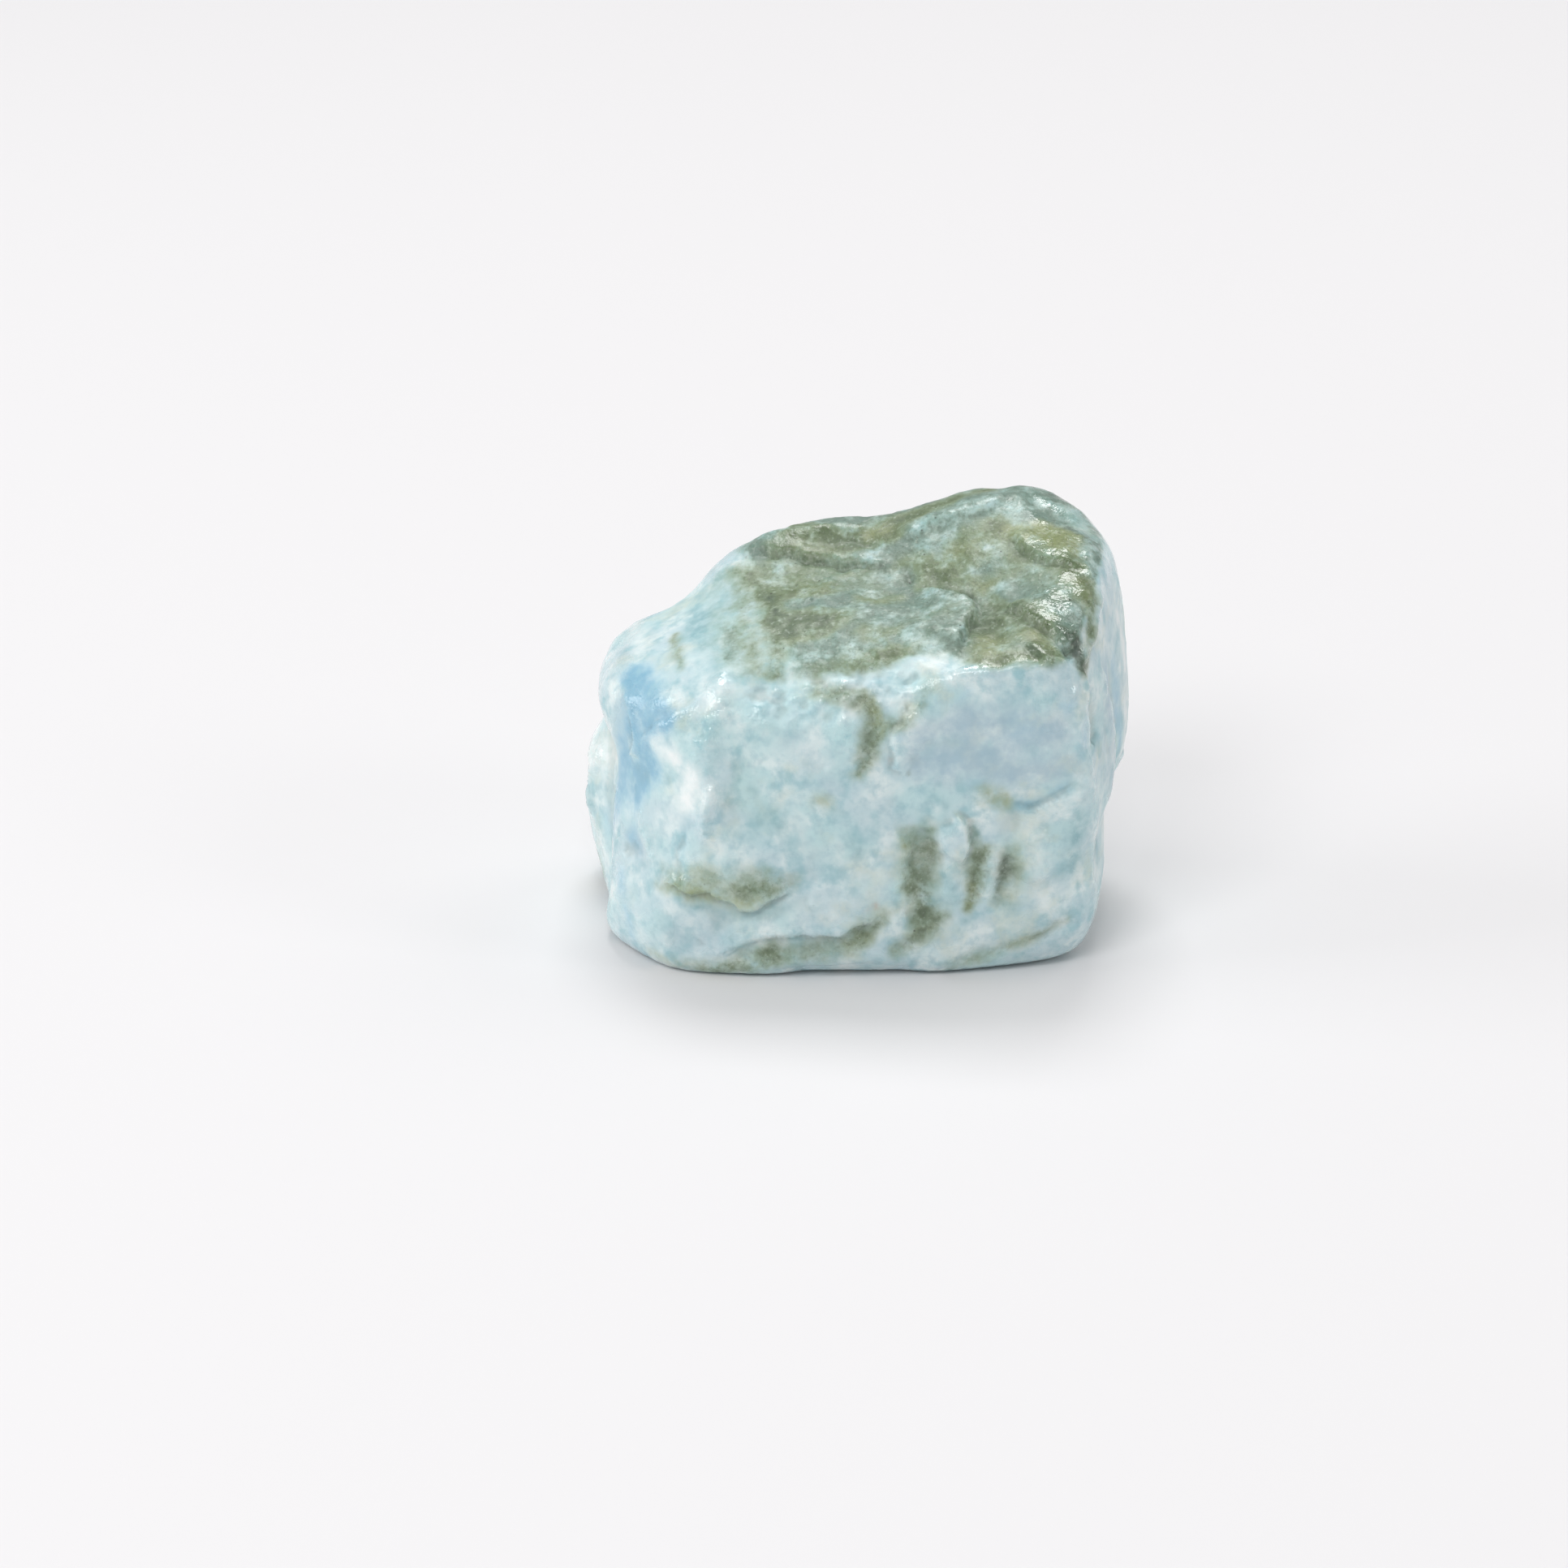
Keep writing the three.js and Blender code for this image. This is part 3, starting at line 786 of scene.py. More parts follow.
# %% The pale rim round the peak, thin veils and last touches
draw("top", [
    ("haze", -0.85, (9.2, 6.4, 0.6), (10.6, 6.0, 0.8), (11.8, 5.0, 0.9), (12.6, 3.6, 0.6)),
    ("olive", -0.60, (9.6, 5.4, 0.4), (10.8, 4.8, 0.6), (12.0, 3.8, 0.7), (12.6, 2.2, 0.5)),
    ("ochre", -0.50, (10.8, 4.6, 0.4), (12.0, 3.4, 0.5)),
    ("teal", 0.50, (9.4, 6.2, 0.5), (10.8, 5.6, 0.7), (12.0, 4.4, 0.7)),
    ("haze", -0.80, (7.8, -1.2, 0.5), (8.4, -2.6, 0.6)),
    ("olive", -0.60, (7.8, -1.2, 0.4), (8.3, -2.6, 0.5)),
    ("moss", 0.35, (-4.2, -2.2, 0.6), (-3.4, -3.8, 0.7), (-1.8, -2.9, 0.6)),
    ("olive", 0.55, (-0.4, -6.6, 0.6), (1.4, -6.6, 0.7)),
    ("teal", 0.55, (2.6, -1.6, 0.9), (4.4, -1.6, 0.8)),
    ("teal", 0.45, (-3.0, -5.4, 0.7), (-1.0, -5.2, 0.8), (2.4, -5.6, 0.7)),
    ("teal", 0.60, (8.8, -0.8, 0.5), (9.4, -2.0, 0.8), (10.2, -3.4, 0.6)),
    ("teal", 0.45, (12.4, 4.0, 0.7), (12.9, 0.8, 0.6)),
    ("teal", 0.60, (-2.2, 5.6, 0.4), (-0.4, 5.4, 0.4)),
    ("teal", 0.70, (9.4, 5.7, 0.3), (10.4, 5.0, 0.4), (11.4, 4.3, 0.3)),
    ("moss", 0.30, (9.5, 5.6, 0.2), (10.4, 4.9, 0.3), (11.3, 4.2, 0.2)),
    ("lavender", 0.60, (7.4, 0.9, 0.5), (8.2, 0.2, 0.5), (7.8, -1.2, 0.4)),
    ("blue", 0.55, (-12.6, -1.4, 0.3), (-12.2, -2.8, 0.5), (-11.6, -4.4, 0.7), (-10.6, -5.8, 0.5)),
    ("olive", 0.65, (-10.0, 0.0, 0.25), (-9.8, -1.8, 0.45), (-9.6, -4.0, 0.2)),
    ("ochre", 0.40, (-9.9, -0.6, 0.2), (-9.8, -2.0, 0.25)),
    ("moss", 0.75, (-6.1, -5.8, 0.06), (-5.8, -5.9, 0.08)),
])

# %% [markdown]
# ### The front
#
# The front is mostly pale. A blue field lies on the left bevel and a blue grey one on the upper right, with
# white and teal clouds between them. The green comes as a fork, a few streaks and a band, each along its
# own fold.

# %% The blue of the left bevel, and the white and teal beside it
draw("front", [
    ("blue", 0.40, (-12.0, 14.6, 1.3), (-11.2, 13.0, 1.5), (-11.6, 11.2, 1.4), (-12.0, 9.4, 1.0)),
    ("blue", 0.65, (-12.2, 15.0, 0.65), (-11.6, 14.8, 1.2), (-11.0, 14.2, 1.1), (-10.3, 14.1, 0.65)),
    ("blue", 0.70, (-12.0, 12.9, 0.45), (-11.3, 13.4, 0.6), (-10.4, 14.0, 0.45)),
    ("blue", 0.60, (-12.1, 15.1, 0.5), (-11.8, 15.2, 0.5)),
    ("blue", 0.70, (-11.8, 12.2, 0.5), (-11.4, 11.4, 1.1), (-11.5, 10.4, 0.95), (-11.9, 9.4, 0.8)),
    ("blue", 0.95, (-11.2, 11.5, 0.5), (-11.0, 11.2, 0.45)),
    ("blue", 0.70, (-12.0, 10.1, 0.45), (-11.9, 9.7, 0.5)),
    ("blue", 0.45, (-12.1, 8.8, 0.65), (-12.2, 7.6, 0.65)),
    ("blue", 0.50, (-9.9, 14.4, 0.25), (-9.2, 14.9, 0.3), (-8.7, 15.5, 0.25)),
    ("blue", 0.60, (-12.9, 4.5, 0.45), (-12.8, 3.9, 0.45)),
    ("blue", 0.70, (-12.6, 2.8, 0.3), (-12.2, 1.6, 0.4)),
    ("lavender", 0.85, (-12.7, 13.8, 0.65), (-12.6, 12.4, 0.8), (-12.8, 11.0, 0.8), (-12.9, 9.4, 0.8)),
    ("lavender", 0.95, (-12.4, 7.0, 0.5), (-12.0, 6.4, 0.65)),
    ("blue", 0.50, (-12.3, 6.7, 0.5), (-12.0, 6.3, 0.5)),
    # white calcite and painted highlight: this cloud is made whiter to stand for the glare on the left ridge
    ("snow", 0.80, (-10.8, 12.6, 0.25), (-9.8, 12.4, 0.5), (-9.1, 11.4, 0.8), (-9.0, 10.2, 0.7)),
    ("snow", 0.45, (-9.6, 9.2, 0.6), (-10.8, 8.4, 0.5), (-11.0, 7.2, 0.4), (-10.6, 6.4, 0.3)),
    ("snow", 0.35, (-8.8, 15.0, 0.5), (-7.4, 15.9, 0.6)),
    ("snow", 0.45, (-12.0, 2.8, 0.3), (-11.5, 1.8, 0.5)),
    ("snow", 0.35, (-8.8, 7.2, 0.5), (-7.6, 7.4, 0.5)),
    ("blue", 0.30, (-9.0, 9.4, 0.4), (-9.4, 8.2, 0.45), (-9.6, 7.2, 0.4)),
    ("teal", 0.60, (-8.0, 13.2, 0.3), (-7.6, 13.0, 0.4), (-7.8, 12.2, 0.3)),
    ("teal", 0.65, (-5.7, 11.1, 0.2), (-5.5, 10.9, 0.2)),
    ("teal", 0.30, (-6.4, 8.8, 0.8), (-4.6, 9.4, 0.8), (-3.8, 10.6, 0.6)),
    ("teal", 0.30, (-6.0, 15.2, 0.8), (-4.4, 14.6, 0.8), (-2.4, 15.0, 0.6)),
])

# %% Clouds in the middle of the front
draw("front", [
    ("ochre", 0.17, (-6.3, 12.3, 0.7), (-6.8, 10.8, 0.85), (-5.6, 10.3, 0.7)),
    ("lavender", 0.35, (-3.4, 13.8, 0.8), (-2.2, 12.8, 1.0), (-1.6, 11.6, 0.8)),
    ("snow", 0.30, (-4.6, 13.6, 0.7), (-2.8, 13.2, 0.9)),
    ("snow", 0.30, (-3.2, 9.0, 0.7), (-2.6, 8.0, 0.8)),
    ("snow", 0.35, (-3.0, 4.9, 0.6), (-1.0, 5.2, 0.8), (1.0, 5.4, 0.8), (1.4, 6.8, 0.6)),
    ("snow", 0.30, (0.6, 9.4, 0.7), (1.2, 8.4, 0.6)),
    ("snow", 0.25, (-7.0, 3.5, 0.4), (-4.0, 3.7, 0.5), (-1.4, 4.0, 0.4)),
    ("snow", 0.30, (4.9, 9.2, 0.3), (5.2, 8.0, 0.35), (5.0, 7.0, 0.3)),
    ("snow", 0.35, (7.0, 8.7, 0.4), (8.8, 9.1, 0.5), (10.6, 9.6, 0.6)),
    ("snow", 0.35, (9.6, 7.8, 0.7), (9.5, 6.4, 0.7), (9.8, 4.8, 0.6)),
    ("snow", 0.50, (11.3, 10.5, 0.3), (11.8, 10.7, 0.3)),
    ("snow", 0.25, (7.0, 3.0, 0.5), (8.8, 3.2, 0.5)),
    ("teal", 0.70, (-0.3, 8.4, 0.35), (0.0, 7.9, 0.4)),
    ("teal", 0.40, (-0.9, 8.2, 0.4), (-1.1, 7.2, 0.4), (-0.9, 6.2, 0.35)),
    ("teal", 0.60, (-1.9, 10.1, 0.15), (-0.9, 10.0, 0.2)),
    ("teal", 0.30, (-2.4, 8.2, 0.5), (-2.2, 6.8, 0.5)),
    # painted shadow: a teal grey line under the lip of the low left fold
    ("teal", 0.65, (-9.4, 4.1, 0.25), (-8.4, 4.2, 0.35), (-7.2, 3.9, 0.3), (-5.4, 3.9, 0.25)),
    ("teal", 0.45, (-4.2, 4.3, 0.3), (-3.0, 5.0, 0.4)),
    ("teal", 0.35, (-10.8, 3.0, 0.5), (-9.6, 2.0, 0.6)),
    ("lavender", 0.35, (-9.4, 2.4, 1.1), (-7.8, 2.2, 1.2)),
    ("teal", 0.65, (-6.8, 2.8, 0.25), (-6.8, 2.3, 0.3)),
    ("teal", 0.50, (4.0, 10.8, 0.3), (4.6, 10.4, 0.35), (4.5, 9.8, 0.25)),
    ("teal", 0.95, (6.3, 9.0, 0.25), (6.4, 8.6, 0.3), (6.2, 8.0, 0.2)),
    ("moss", 0.45, (6.1, 9.2, 0.2), (6.3, 8.3, 0.3)),
    ("teal", 0.75, (4.7, 6.5, 0.2), (4.7, 6.1, 0.25)),
    ("teal", 0.60, (5.2, 5.6, 0.35), (5.1, 4.8, 0.4)),
    ("teal", 0.60, (5.8, 3.6, 0.4), (5.4, 3.0, 0.4)),
    ("teal", 0.80, (7.7, 4.5, 0.35), (8.3, 4.3, 0.4)),
    ("teal", 0.65, (10.8, 3.6, 0.3), (11.3, 3.4, 0.35)),
    ("teal", 0.75, (11.8, 9.0, 0.5), (11.7, 7.4, 0.8), (11.3, 6.2, 0.6)),
    ("teal", 0.30, (10.6, 5.8, 0.6), (10.9, 4.8, 0.6)),
    ("teal", 0.40, (8.2, 9.6, 0.3), (8.6, 9.2, 0.3)),
])

# %% The blue grey field on the right, and the line that ends it
draw("front", [
    ("lavender", 0.70, (3.4, 14.0, 1.0), (5.6, 14.6, 1.5), (8.6, 14.6, 1.6), (10.4, 14.4, 1.0)),
    ("lavender", 0.75, (3.6, 12.6, 0.9), (6.0, 12.6, 1.1), (9.4, 12.4, 1.1), (11.0, 12.4, 0.8)),
    ("blue", 0.65, (2.1, 14.6, 0.2), (2.1, 14.3, 0.2)),
    ("blue", 0.45, (5.3, 16.4, 0.2), (5.7, 16.7, 0.25)),
    ("blue", 0.20, (4.2, 15.4, 0.4), (4.8, 15.6, 0.4)),
    ("blue", 0.25, (7.6, 14.2, 0.4), (8.5, 14.7, 0.5)),
    ("blue", 0.20, (8.8, 12.8, 0.4), (9.6, 13.0, 0.5)),
    ("blue", 0.25, (4.4, 12.4, 0.4), (5.2, 12.8, 0.4)),
    ("blue", 0.35, (5.8, 11.5, 0.3), (6.4, 11.7, 0.3)),
    ("blue", 0.50, (10.8, 15.8, 0.3), (11.2, 15.6, 0.35)),
    ("lavender", 0.40, (6.0, 15.2, 0.5), (6.8, 15.0, 0.5)),
    ("blue", 0.70, (8.2, 10.1, 0.2), (8.9, 10.1, 0.3), (9.8, 10.3, 0.2)),
    # painted shade: a thin dark line in the groove at the foot of the bulge's ledge
    ("moss", 0.30, (8.3, 10.05, 0.15), (8.9, 10.05, 0.2), (9.8, 10.25, 0.12)),
    ("teal", 0.50, (-5.0, 9.8, 0.7), (-3.6, 8.8, 0.9)),
    ("teal", 0.95, (8.2, 10.1, 0.3), (8.9, 10.1, 0.35), (9.8, 10.3, 0.25)),
    ("blue", 0.60, (10.4, 10.8, 0.3), (10.9, 11.1, 0.3)),
    ("teal", 0.70, (10.3, 10.8, 0.35), (11.0, 11.1, 0.35)),
    ("blue", 0.65, (11.9, 14.8, 0.2), (11.85, 13.8, 0.3), (11.9, 12.7, 0.2)),
])

# %% The olive fork under the plate
draw("front", [
    ("olive", 0.60, (-2.3, 16.5, 0.45), (-1.2, 16.4, 0.6), (0.0, 16.3, 0.6)),
    ("olive", 0.70, (0.3, 16.2, 0.5), (0.8, 15.2, 0.65), (0.6, 14.2, 0.75), (0.3, 13.0, 0.75),
     (0.0, 12.2, 0.4)),
    ("olive", 0.60, (3.6, 16.8, 0.3), (3.1, 16.1, 0.4), (2.5, 15.4, 0.4), (1.8, 14.8, 0.35)),
    ("ochre", 0.45, (0.5, 16.1, 0.4), (1.0, 15.1, 0.5), (1.1, 14.5, 0.35)),
    ("ochre", 0.40, (3.1, 16.5, 0.3), (2.5, 15.8, 0.4)),
    ("moss", 0.35, (0.4, 14.2, 0.45), (0.4, 13.4, 0.45)),
    ("olive", 0.35, (-2.2, 10.8, 0.45), (-1.8, 10.5, 0.45)),
    ("ochre", 0.30, (-2.2, 10.7, 0.55), (-1.7, 10.5, 0.45)),
])

# %% The long olive stain at the low left
draw("front", [
    ("olive", 0.45, (-10.7, 5.1, 0.45), (-9.4, 5.4, 0.8), (-8.0, 5.6, 0.9), (-6.6, 5.6, 1.1),
     (-5.2, 5.9, 1.0)),
    ("olive", 0.40, (-5.8, 5.6, 0.6), (-4.8, 5.8, 0.7), (-3.8, 6.0, 0.6)),
    ("olive", 0.30, (-10.4, 6.0, 0.35), (-9.0, 6.4, 0.45), (-7.6, 6.5, 0.4)),
    ("ochre", 0.55, (-10.2, 4.9, 0.45), (-8.8, 5.3, 0.7), (-7.6, 5.0, 0.55), (-6.4, 4.6, 0.45),
     (-5.0, 4.7, 0.3)),
    ("moss", 0.55, (-6.2, 5.3, 0.3), (-5.9, 5.2, 0.3)),
])

# %% The bottom band, which curls up at its right end
draw("front", [
    ("olive", 0.50, (-8.4, 0.5, 0.4), (-7.0, 0.7, 0.5), (-6.0, 1.0, 0.8), (-5.0, 1.4, 0.8)),
    ("olive", 0.50, (-4.6, 1.5, 0.7), (-3.2, 1.8, 0.75), (-1.6, 2.1, 0.75), (-0.2, 2.5, 0.65)),
    ("olive", 0.60, (-0.2, 2.5, 0.6), (0.6, 3.0, 0.4), (1.4, 3.6, 0.25)),
    ("olive", 0.35, (0.2, 3.6, 0.4), (1.4, 4.2, 0.5), (2.2, 4.4, 0.4)),
    ("ochre", 0.40, (-0.6, 2.3, 0.5), (0.5, 2.5, 0.4)),
    ("moss", 0.30, (-2.6, 1.9, 0.4), (-1.2, 2.0, 0.4)),
    ("moss", 0.55, (0.3, 3.2, 0.2), (0.9, 3.5, 0.2)),
    ("moss", 0.60, (-4.8, 1.3, 0.08), (-4.5, 1.35, 0.1)),
    ("moss", 0.60, (-1.1, 1.95, 0.1), (-0.8, 1.9, 0.08)),
    ("olive", 0.40, (-11.2, 0.9, 0.4), (-10.0, 0.5, 0.5), (-8.0, 0.4, 0.5), (-6.0, 0.4, 0.4)),
])

# %% The green streak on the right, with its foot
draw("front", [
    ("teal", 0.70, (3.2, 9.3, 0.3), (3.7, 8.8, 0.4)),
    ("olive", 0.45, (2.9, 8.8, 0.35), (3.1, 7.6, 0.5), (2.9, 6.4, 0.5), (3.1, 5.0, 0.55), (3.3, 4.0, 0.5)),
    ("olive", 0.55, (3.8, 8.9, 0.4), (3.9, 7.8, 0.55), (3.8, 6.6, 0.65), (3.7, 5.4, 0.7), (3.7, 4.2, 0.65)),
    ("moss", 0.30, (4.0, 8.3, 0.3), (4.3, 7.6, 0.4), (4.2, 7.0, 0.35)),
    ("moss", 0.25, (3.8, 6.6, 0.45), (3.8, 5.4, 0.5), (3.9, 4.4, 0.45)),
    ("moss", 0.55, (4.2, 3.6, 0.35), (3.6, 2.9, 0.45), (2.9, 2.4, 0.3)),
    ("olive", 0.60, (4.5, 3.8, 0.5), (3.8, 3.0, 0.65), (3.0, 2.4, 0.6), (2.0, 1.8, 0.4)),
    ("ochre", 0.40, (3.9, 3.2, 0.4), (2.6, 2.3, 0.4)),
    ("olive", 0.35, (2.2, 9.0, 0.4), (2.4, 7.8, 0.45), (2.4, 6.4, 0.45), (2.7, 5.2, 0.45)),
    ("ochre", 0.30, (2.3, 8.8, 0.3), (2.5, 7.6, 0.25)),
])

# %% The second streak and the dark spot beside it
draw("front", [
    ("ochre", 0.50, (5.2, 10.0, 0.08), (5.7, 9.3, 0.1), (5.9, 8.5, 0.08), (6.1, 7.8, 0.08)),
    ("olive", 0.75, (6.9, 7.7, 0.35), (6.6, 6.6, 0.45), (6.2, 5.4, 0.5), (5.9, 4.5, 0.35)),
    ("ochre", 0.45, (6.2, 5.6, 0.3), (5.9, 4.7, 0.3)),
    ("olive", 0.45, (8.1, 7.4, 0.5), (8.2, 6.2, 0.85), (8.0, 5.0, 0.7)),
    ("olive", 0.45, (6.2, 8.8, 0.2), (6.4, 7.8, 0.3), (6.5, 6.8, 0.35)),
    ("moss", 0.75, (7.8, 6.9, 0.4), (7.8, 6.2, 0.5), (7.6, 5.4, 0.4), (7.4, 4.8, 0.25)),
    ("olive", 0.35, (6.7, 11.0, 0.6), (7.4, 10.6, 0.75)),
    ("ochre", 0.60, (6.8, 11.0, 0.5), (7.3, 10.7, 0.65), (7.8, 10.3, 0.4)),
])

# %% The low right streak, and a few rusty grains
draw("front", [
    ("olive", 0.55, (11.2, 2.9, 0.25), (10.2, 2.6, 0.4), (9.4, 2.3, 0.4), (8.2, 2.0, 0.3)),
    ("olive", 0.45, (7.6, 1.7, 0.45), (6.4, 1.2, 0.6), (5.2, 0.7, 0.6)),
    ("moss", 0.30, (10.0, 2.5, 0.2), (9.5, 2.4, 0.2)),
    ("rust", 0.70, (0.9, 4.65, 0.06), (1.0, 4.5, 0.1)),
    ("rust", 0.45, (0.4, 4.3, 0.06), (0.5, 4.35, 0.06)),
    ("rust", 0.70, (1.7, 13.1, 0.06), (1.75, 13.0, 0.06)),
    ("moss", 0.90, (2.68, 12.3, 0.04), (2.75, 12.3, 0.04)),
])

# %% [markdown]
# ### The sides, the back and the base
#
# A cabinet shows every side, so the hidden ones have the same minerals in the same kinds of places: veins
# that follow the ledges, and pale or blue clouds between the veins.

# %% The left side
draw("left", [
    ("snow", 0.70, (5.0, 9.0, 0.8), (3.2, 8.0, 1.4), (0.8, 9.2, 1.0)),
    ("snow", 0.50, (4.2, 3.6, 1.0), (1.4, 3.0, 1.2)),
    ("teal", 0.60, (4.6, 6.6, 0.9), (3.0, 5.2, 1.2)),
    ("blue", 0.70, (-3.8, 12.4, 0.9), (-3.4, 10.6, 1.2), (-3.2, 8.6, 1.0), (-2.8, 6.4, 0.7)),
    ("blue", 0.40, (-1.4, 5.8, 0.6), (0.4, 4.8, 0.8)),
    ("lavender", 0.60, (3.2, 12.6, 1.4), (0.2, 12.0, 1.6)),
    ("olive", 0.50, (5.0, 12.2, 0.4), (4.2, 11.2, 0.8), (2.8, 10.8, 0.6), (1.6, 11.0, 0.3)),
    ("olive", 0.45, (4.6, 1.8, 0.4), (3.0, 1.4, 0.8), (1.2, 1.6, 0.5)),
    ("ochre", 0.40, (4.4, 11.4, 0.4), (3.2, 10.9, 0.35)),
    ("moss", 0.50, (4.2, 11.2, 0.25), (3.4, 10.9, 0.3)),
])

# %% The right side
draw("right", [
    ("lavender", 0.70, (-3.2, 15.6, 1.2), (-3.0, 11.4, 1.8), (-2.8, 7.6, 1.2)),
    ("lavender", 0.50, (2.4, 13.8, 1.6), (4.4, 12.0, 1.6)),
    ("blue", 0.60, (-1.0, 15.4, 0.4), (-0.6, 13.4, 0.8), (-0.2, 11.6, 0.7), (0.4, 10.0, 0.4)),
    ("snow", 0.70, (1.2, 17.0, 0.6), (1.9, 14.2, 1.0), (1.7, 11.4, 0.9), (1.5, 9.4, 0.6)),
    ("snow", 0.50, (-4.4, 8.0, 0.9), (-2.4, 5.4, 1.2)),
    ("teal", 0.60, (4.6, 8.4, 1.2), (2.4, 5.6, 1.4)),
    ("olive", 0.50, (5.8, 17.8, 0.6), (4.8, 16.4, 1.0), (5.0, 14.6, 1.1), (4.4, 13.0, 0.6)),
    ("olive", 0.35, (3.2, 16.2, 0.5), (4.0, 15.2, 0.5)),
    ("ochre", 0.35, (5.4, 16.8, 0.5), (4.8, 15.0, 0.5)),
    ("moss", 0.45, (5.0, 15.8, 0.35), (4.8, 14.4, 0.45)),
    ("olive", 0.50, (5.0, 4.4, 0.4), (3.4, 3.4, 0.9), (1.0, 2.9, 1.0), (-1.0, 3.0, 0.5)),
    ("moss", 0.45, (3.0, 3.2, 0.35), (1.8, 2.9, 0.4)),
])

# %% The brow of the back, where the haze runs over it
draw("back", [
    ("haze", 0.60, (-6.0, 17.2, 0.6), (-2.0, 17.6, 1.0), (2.0, 18.2, 1.0), (5.6, 18.8, 0.6)),
    ("olive", 0.50, (-7.4, 15.6, 0.5), (-5.4, 16.4, 1.0), (-2.4, 16.9, 1.2), (-0.2, 16.6, 0.9),
     (1.4, 17.2, 0.5)),
    ("olive", 0.40, (-4.0, 15.6, 0.5), (-2.6, 15.2, 0.6), (-1.4, 15.6, 0.4)),
    ("moss", 0.45, (-5.0, 16.4, 0.4), (-3.2, 16.9, 0.5), (-2.0, 16.6, 0.3)),
    ("olive", 0.50, (7.4, 18.9, 0.5), (9.0, 18.2, 0.9), (10.6, 17.2, 0.7), (11.4, 16.2, 0.4)),
    ("ochre", 0.35, (8.6, 18.2, 0.5), (9.8, 17.6, 0.4)),
])

# %% Veins that run down the back
draw("back", [
    ("olive", 0.50, (2.6, 17.2, 0.8), (3.4, 15.8, 1.2), (2.8, 14.2, 0.8), (1.8, 12.8, 1.0), (1.0, 11.4, 0.5)),
    ("olive", 0.30, (4.4, 16.4, 0.8), (4.8, 14.8, 0.7), (4.2, 13.6, 0.4)),
    ("ochre", 0.40, (2.8, 16.2, 0.5), (3.2, 14.8, 0.5), (2.2, 13.2, 0.4)),
    ("moss", 0.40, (3.2, 15.2, 0.4), (2.6, 13.8, 0.45), (1.9, 12.8, 0.3)),
    ("olive", 0.45, (-9.8, 6.4, 0.5), (-8.2, 5.4, 1.0), (-6.4, 5.0, 1.3), (-4.6, 3.6, 0.9), (-3.2, 2.2, 0.5)),
    ("olive", 0.35, (-8.6, 3.4, 0.6), (-6.6, 2.8, 0.8), (-5.0, 2.0, 0.5)),
    ("ochre", 0.35, (-8.4, 5.4, 0.5), (-6.8, 5.0, 0.5)),
    ("moss", 0.45, (-6.4, 4.4, 0.4), (-5.2, 3.7, 0.4)),
    ("olive", 0.40, (6.8, 5.4, 0.5), (8.2, 4.6, 0.9), (9.6, 3.8, 0.8), (11.0, 3.6, 0.4)),
    ("moss", 0.30, (8.4, 4.4, 0.3), (9.2, 4.0, 0.35)),
])

# %% Pale and blue clouds between the veins
draw("back", [
    ("snow", 0.80, (-9.8, 10.6, 1.0), (-7.8, 11.8, 1.5), (-5.6, 11.6, 1.3), (-4.0, 10.2, 0.8)),
    ("snow", 0.75, (1.8, 7.2, 1.0), (4.2, 8.2, 1.4), (6.4, 7.4, 1.3), (8.4, 6.4, 0.8)),
    ("snow", 0.55, (-4.0, 3.6, 0.8), (-1.6, 4.6, 1.3), (0.4, 4.2, 0.8)),
    ("snow", 0.55, (8.8, 14.8, 0.8), (10.0, 13.2, 1.2), (11.0, 11.6, 0.8)),
    ("teal", 0.65, (-8.2, 8.2, 1.0), (-6.6, 7.0, 1.4), (-5.0, 6.4, 1.0)),
    ("teal", 0.60, (4.4, 12.8, 1.0), (5.8, 11.4, 1.3), (7.0, 11.0, 0.8)),
    ("teal", 0.55, (2.8, 3.6, 0.8), (4.6, 2.6, 0.8)),
    ("blue", 0.70, (-1.6, 12.8, 0.7), (-0.2, 11.4, 1.2), (0.8, 9.8, 1.1), (1.4, 8.6, 0.6)),
    ("blue", 0.60, (-11.2, 7.8, 0.9), (-10.8, 6.4, 1.0), (-10.4, 5.2, 0.7)),
    ("blue", 0.55, (9.4, 9.6, 0.6), (10.6, 7.6, 0.9)),
    ("lavender", 0.65, (-3.6, 8.2, 1.2), (-2.0, 7.0, 1.6), (-0.6, 6.4, 1.2)),
    ("lavender", 0.55, (5.6, 16.4, 1.2), (7.8, 16.0, 1.1)),
])

# %% The base
draw("under", [
    ("snow", 0.70, (-7.0, 2.4, 1.6), (-4.0, 1.2, 2.2), (-1.0, 1.0, 1.8)),
    ("teal", 0.60, (4.0, -2.0, 1.6), (8.0, 0.0, 2.0)),
    ("olive", 0.50, (-8.0, -3.0, 0.7), (-4.6, -4.2, 1.4), (-1.0, -3.8, 1.2), (3.0, -3.0, 0.6)),
    ("moss", 0.40, (-5.2, -4.0, 0.5), (-3.0, -4.2, 0.6)),
    ("blue", 0.50, (2.0, 4.0, 1.0), (5.0, 4.6, 1.2)),
])

# %% [markdown]
# ## From drawing to mesh
#
# A stain covers the skin evenly in its middle and fades out at its border, softly where it is wide and more
# sharply where it is narrow. Stains of one mineral that overlap add up as thin washes do: each one covers a
# share of what the others left bare.

# %% Put the stains on the mesh
LEAST_SOFTNESS = 0.30  # mm
SOFTNESS_SHARE = 0.65  # of the half width, which is added to it
HAZE_ON_CRUST = 0.85  # how solid the haze is on the crust before its gaps are opened


